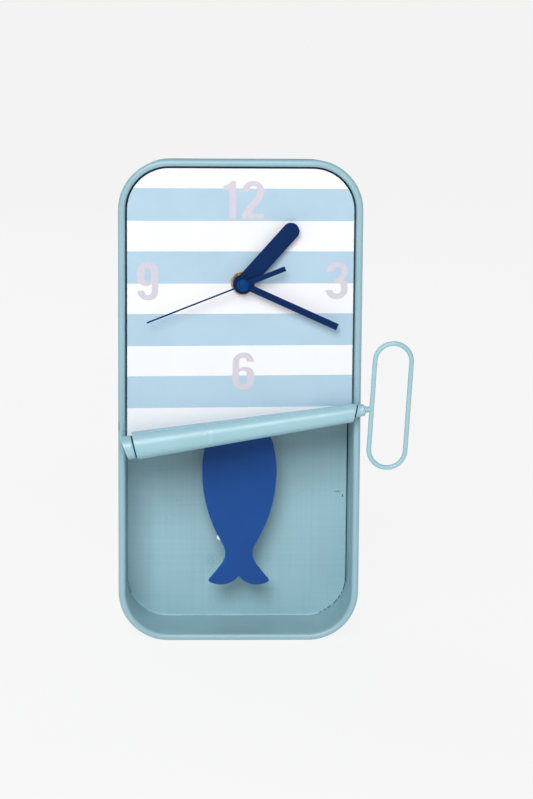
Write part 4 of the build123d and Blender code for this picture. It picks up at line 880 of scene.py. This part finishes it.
def wound(name, frame_matrix, sizes):
    """One wound sheet with its thickness and rounded edges, placed on its axis."""
    piece = grown(name, dot, wound_sheet, sizes)
    shape = bmesh.new()
    shape.from_mesh(piece.data)
    bmesh.ops.remove_doubles(shape, verts=shape.verts, dist=1e-7)
    shape.normal_update()
    face = max(shape.faces, key=lambda f: f.calc_area())
    outward = Vector((0, face.calc_center_median().y, face.calc_center_median().z))
    if face.normal.dot(outward) < 0:
        bmesh.ops.reverse_faces(shape, faces=shape.faces)
    shape.to_mesh(piece.data)
    shape.free()
    piece.data.transform(frame_matrix)
    wall = piece.modifiers.new("sheet", "SOLIDIFY")
    wall.thickness = SHEET * MM
    wall.offset = -1.0
    wall.use_even_offset = True
    bevel_edges(piece, 0.22, 50)
    mesh = baked(piece)
    piece.modifiers.clear()
    piece.data = mesh
    mesh.shade_smooth()
    mesh.set_sharp_from_angle(angle=radians(40))
    return piece


lid_axis = roll_frame(LID_LEFT, LID_RIGHT)
core_axis = roll_frame(CORE_LEFT, CORE_RIGHT)
lid_length = (LID_RIGHT - LID_LEFT).length
lid_turn = wound("lid_outer_turn", lid_axis, {
    "Length": lid_length * MM, "Left Radius": LEFT_R * MM, "Right Radius": RIGHT_R * MM, "First Angle": radians(-62),
    "Turns": 0.992, "Left Slant": LEFT_SLANT, "Right Slant": RIGHT_SLANT, "Dent": 0.00022, "Along": 72, "Round": 110})
fit(lid_turn, "case", "teal_paint", "rolled_lid")

# %% [markdown]
# ### Where the turns meet
#
# The inner turn is a copy of its solid. Beside each end of the outer turn a narrow groove is cut round it, in
# the same slanted plane as that end, and its faces are given a dark steel colour as painted shade, so a thin dark line
# shows there.
# The loose coil inside the open left end is one more wound sheet.

# %% Inner turn and coil
SEAM_WIDTH, SEAM_DEPTH, SEAM_LEAST, END_GAP = 0.9, 0.7, 3.4, 0.1


def seam_cut(shape, station, slant, away):
    """Cuts a groove round the inner turn beside an end of the outer turn. Returns its two edges and its normal."""
    normal = lid_axis.to_3x3() @ Vector((1.0, 0.0, slant)).normalized()
    origin = lid_axis @ Vector((station * MM, 0, 0))
    planes = []
    for reach in (0.0, SEAM_WIDTH / 2, SEAM_WIDTH):
        spot = origin + normal * (away * reach * MM)
        everything = shape.verts[:] + shape.edges[:] + shape.faces[:]
        bmesh.ops.bisect_plane(shape, geom=everything, plane_co=spot, plane_no=normal)
        planes.append(spot)
    for vertex in shape.verts:
        if abs((vertex.co - planes[1]).dot(normal)) < 1e-6:
            axis_point = CORE_LEFT * MM + core_line * (vertex.co - CORE_LEFT * MM).dot(core_line)
            spoke = vertex.co - axis_point
            if spoke.length > SEAM_LEAST * MM:
                vertex.co = axis_point + spoke * (1 - SEAM_DEPTH * MM / spoke.length)
    return planes[0], planes[2], normal


shape = bmesh.new()
shape.from_mesh(NODES["lid_core"].data)
bmesh.ops.remove_doubles(shape, verts=shape.verts, dist=MERGE)
bands = [seam_cut(shape, -END_GAP, -LEFT_SLANT, -1.0), seam_cut(shape, lid_length + END_GAP, RIGHT_SLANT, 1.0)]
for face in shape.faces:
    heart = face.calc_center_median()
    for low, high, normal in bands:
        ends = sorted(((low - heart).dot(normal), (high - heart).dot(normal)))
        face.material_index = max(face.material_index, int(ends[0] < 0 < ends[1]))
nose_mesh = bpy.data.meshes.new("lid_inner_turn")
shape.to_mesh(nose_mesh)
shape.free()
nose_mesh.materials.append(roll_paint)
# The second material is a dark colour, painted shade for the grooves.
nose_mesh.materials.append(seam_shade)
lid_nose = show(nose_mesh, "lid_inner_turn")
nose_mesh.shade_smooth()
nose_mesh.set_sharp_from_angle(angle=radians(30))
fit(lid_nose, "case", "teal_paint", "lid_core")
lid_coil = wound("lid_coil", core_axis, {
    "Length": 0.117, "Start": -0.0060, "Left Radius": 0.00655, "Right Radius": 0.0028, "First Angle": radians(80),
    "Turns": 1.6, "Closing": 0.24, "Left Slant": CORE_SLANT, "Dent": 0.0001, "Along": 30, "Round": 120})
fit(lid_coil, "case", "teal_paint")
print("lid rolled over", round(lid_length, 1), "mm")

# %% [markdown]
# ## The key
#
# The key is one wire bent to a long loop, its ends butted at the top and painted over, with a short shank
# welded to the near side. A loop is a path, so the tree fillets a rectangle and sweeps a circle along it.
# A shallow dip marks where the ends butt. The shank is turned from its rings: a flange and a stem inside the
# roll, and outside it a collar and a neck that meets the wire.

# %% Key
LOOP_W, LOOP_L, WIRE, LEAN, REACH, CORE_PAST = 23.2, 82.9, 1.5, 12.3, 4.5, 6.5
BUTT_ANGLE, BUTT_DEPTH, BUTT_HALF = radians(102), 0.32, 2.4
key_origin = CORE_LEFT + core_line * (core_span + CORE_PAST)
tree, given = new_tree("bent_wire", {"Width": 0.023, "Length": 0.08, "Wire Radius": 0.0015, "Bend Points": 24,
                                     "Waver": 0.0002})
loop_outline = add(tree, "GeometryNodeCurvePrimitiveQuadrilateral",
                   {"Width": given["Width"], "Height": given["Length"]})
bend = times(given["Width"], 0.4999)
loop_path = add(tree, "GeometryNodeFilletCurve",
                {"Curve": loop_outline, "Count": given["Bend Points"], "Radius": bend}, mode="POLY")
steady = add(tree, "GeometryNodeResampleCurve", {"Curve": loop_path, "Length": 0.0012}, mode="LENGTH")
wavered = drifted(tree, steady, 25.0, given["Waver"], 0.0)
round_wire = add(tree, "GeometryNodeCurvePrimitiveCircle", {"Resolution": 20, "Radius": given["Wire Radius"]})
wire = add(tree, "GeometryNodeCurveToMesh", {"Curve": wavered, "Profile Curve": round_wire})
close_tree(tree, wire, teal_paint)
key_loop = grown("key_loop", dot, tree, {"Width": LOOP_W * MM, "Length": (LOOP_L - 2 * WIRE) * MM,
                                         "Wire Radius": WIRE * MM})
tidy_mesh(key_loop, sharp=60)
loop_r = LOOP_W / 2
butt = Vector((loop_r * cos(BUTT_ANGLE), LOOP_L / 2 - WIRE - loop_r + loop_r * sin(BUTT_ANGLE))) * MM
for vertex in key_loop.data.vertices:
    gap = (vertex.co.xy - butt).length / MM
    groove = BUTT_DEPTH * max(0.0, 1.0 - (gap / BUTT_HALF) ** 2)
    if vertex.co.z > 0:
        vertex.co.z -= groove * vertex.co.z / WIRE
reach = REACH + loop_r / cos(radians(LEAN))
side_up = Vector((0, -1, 0)).cross(core_line).normalized()
side_out = core_line.cross(side_up).normalized()
loop_x = core_line * cos(radians(LEAN)) - side_up * sin(radians(LEAN))
loop_y = core_line * sin(radians(LEAN)) + side_up * cos(radians(LEAN))
if loop_y.z < 0:
    loop_y, side_out = -loop_y, -side_out
turn = Matrix((loop_x, loop_y, loop_x.cross(loop_y))).transposed().to_4x4()
key_loop.data.transform(Matrix.Translation((key_origin + core_line * reach) * MM) @ turn)
fit(key_loop, "key", "teal_paint", "key")

SHANK_RINGS = [(0.0, -10.2), (2.2, -10.25), (2.6, -9.85), (2.6, -9.05), (1.9, -9.05), (1.9, 0.3), (2.25, 0.35),
               (2.3, 1.0), (1.9, 1.35), (1.88, 2.5), (1.62, 3.5), (1.55, 4.4), (1.1, 4.8), (0.0, 4.8)]


def on_shank(x, y, along):
    """A point of the shank, in metres."""
    return (key_origin + core_line * along + side_up * x + side_out * y) * MM


key_shank = show(turned("key_shank", SHANK_RINGS, on_shank, 28), "key_shank")
tidy_mesh(key_shank, sharp=50)
fit(key_shank, "key", "teal_paint", material=teal_paint)

# %% [markdown]
# ## Fish pendulum
#
# The fish is cut from sheet and painted blue, with a brass rod soldered behind it. Only its edge and its
# slight bow tell the eye that it is metal, so the copy of the solid gets a rounded edge. The rod
# and the plastic arm that the coil drives are finished the same way.

# %% Pendulum
for node, name, slot, material, width in (
    ("fish", "fish_plate", "fish_blue", fish_paint, 0.22),
    ("pendulum_rod", "fish_rod", "brass", rod_brass, 0.12),
    ("swing_arm", "drive_arm", "white_plastic", acetal, 0.2),
    ("arm_magnet", "drive_magnet", "magnet_nickel", magnet_dark, 0.25),
):
    fit(softened(node, name, width), "pendulum", slot, node, material=material)

# %% [markdown]
# ## Hands and hub
#
# The hands are stamped from thin sheet, so their upper edges are rolled a little by the punch. The
# seconds hand's blade is a little wider than its solid, and away from the hub only. It carries a domed
# cap with a pressed ring. Under the hands a brass nut and washer hold the neck.

# %% Hands
SECOND_HEADING, BLADE_WIDEN, BLADE_HALF, HUB_CLEAR = radians(248.3), 1.45, 0.6, 4.0
for node, name, body, width in (
    ("hour_hand", "hour_hand_blade", "hour", 0.14),
    ("minute_hand", "minute_hand_blade", "minute", 0.14),
    ("second_hand", "second_hand_blade", "second", 0.08),
):
    blade = softened(node, name, width)
    if name == "second_hand_blade":
        across = Vector((cos(SECOND_HEADING), 0.0, -sin(SECOND_HEADING)))
        for vertex in blade.data.vertices:
            reach = (vertex.co - hub).dot(across)
            if (vertex.co - hub).length > HUB_CLEAR * MM and abs(reach) < BLADE_HALF * MM:
                vertex.co += across * reach * (BLADE_WIDEN - 1.0)
    fit(blade, body, "navy_paint", node, material=navy_paint)
fit(softened("brass_washer", "hub_washer", 0.15), "case", "brass", "brass_washer", material=brass)
fit(softened("brass_nut", "hub_nut", 0.25), "case", "brass", "brass_nut", material=brass)

# %% Cap of the seconds hand
cap_low, cap_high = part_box("second_hand_cap")
cap_r = (cap_high.x - cap_low.x) / 2 / MM
cap_h = (cap_high.y - cap_low.y) / MM
tree, given = new_tree("pressed_cap", {"Notches": 12, "Ring Radius": 0.00275, "Notch Radius": 0.00034})
ring_points = add(tree, "GeometryNodeCurvePrimitiveCircle", {
    "Resolution": given["Notches"], "Radius": given["Ring Radius"]})
notch = add(tree, "GeometryNodeMeshIcoSphere", {"Radius": given["Notch Radius"], "Subdivisions": 2})
notches = add(tree, "GeometryNodeInstanceOnPoints", {"Points": ring_points, "Instance": notch})
lifted = add(tree, "GeometryNodeTransform", {"Geometry": notches, "Translation": (0, 0, cap_h * 0.80 * MM)})
both = add(tree, "GeometryNodeJoinGeometry")
tree.links.new(lifted.outputs[0], both.inputs[0])
tree.links.new(given["Geometry"], both.inputs[0])
close_tree(tree, both, cap_blue)
profile = [(0.0, 0.0), (cap_r - 0.15, 0.0), (cap_r, 0.18), (cap_r, cap_h * 0.62), (cap_r - 0.18, cap_h * 0.86),
           (cap_r - 0.45, cap_h * 0.93), (cap_r - 0.75, cap_h * 0.86), (cap_r - 0.95, cap_h * 0.78),
           (cap_r - 1.25, cap_h * 0.80), (cap_r * 0.45, cap_h * 0.92), (cap_r * 0.22, cap_h * 0.985), (0.0, cap_h)]
cap_disc = turned("cap_profile", profile, lambda x, y, along: Vector((x, y, along)) * MM, 48)
cap = grown("second_cap", cap_disc, tree, {"Notches": 12})
cap_place = ((cap_low.x + cap_high.x) / 2, cap_high.y, (cap_low.z + cap_high.z) / 2)
cap.data.transform(Matrix.Translation(cap_place) @ UPRIGHT)
tidy_mesh(cap, sharp=50)
fit(cap, "second", "blue_cap", "second_hand_cap")

# %% [markdown]
# ## Movement and fixings
#
# Seen from behind, the quartz movement hangs on its neck: a black box with a clipped cover, a battery
# in its bay, a white setting knob and the pendulum's arm. Copies of the solids get moulded edges. The four posts
# and their screws are all the same; the posts are one softened copy, and the screws keep their solids in zinc.

# %% Movement housing and fixings
for node, name, slot, material, width in (
    ("movement_case", "movement_box", "black_plastic", black_plastic, 0.3),
    ("movement_cover", "movement_lid", "black_plastic", black_plastic, 0.3),
    ("battery_contacts", "battery_springs", "nickel_steel", nickel, 0.08),
    ("threaded_neck", "movement_neck", "brass", brass, 0.15),
    ("mounting_gasket", "neck_gasket", "black_rubber", rubber, 0.2),
    ("lid_saddles", "roll_saddles", "teal_paint", teal_paint, 0.2),
    ("pivot_pin", "arm_pivot", "nickel_steel", nickel, 0.12),
    ("dial_posts", "dial_stand_offs", "zinc_steel", zinc, 0.2),
):
    fit(softened(node, name, width), "case", slot, node, material=material)

for node, material in (
    ("circuit_board", board_green), ("stepper_coil", copper), ("coil_core", zinc), ("stator", zinc), ("rotor", acetal),
    ("intermediate_wheel", acetal), ("second_wheel", acetal), ("third_wheel", acetal), ("centre_wheel", acetal),
    ("minute_pipe", brass), ("motion_wheel", acetal), ("hour_wheel", acetal), ("train_pins", nickel),
    ("pendulum_coil", copper), ("setting_knob", acetal), ("battery", battery_wrap), ("back_screws", zinc),
):
    solid = NODES[node]
    solid.data.materials.clear()
    solid.data.materials.append(material)
print("movement and fixings finished")

# %% [markdown]
# ## Sizes
#
# The finished surfaces have to fill the same box as the solids, so the solids' box is printed.

# %% Print the solids' box
print("solids", [round(value / MM, 1) for corner in cad_box for value in corner])
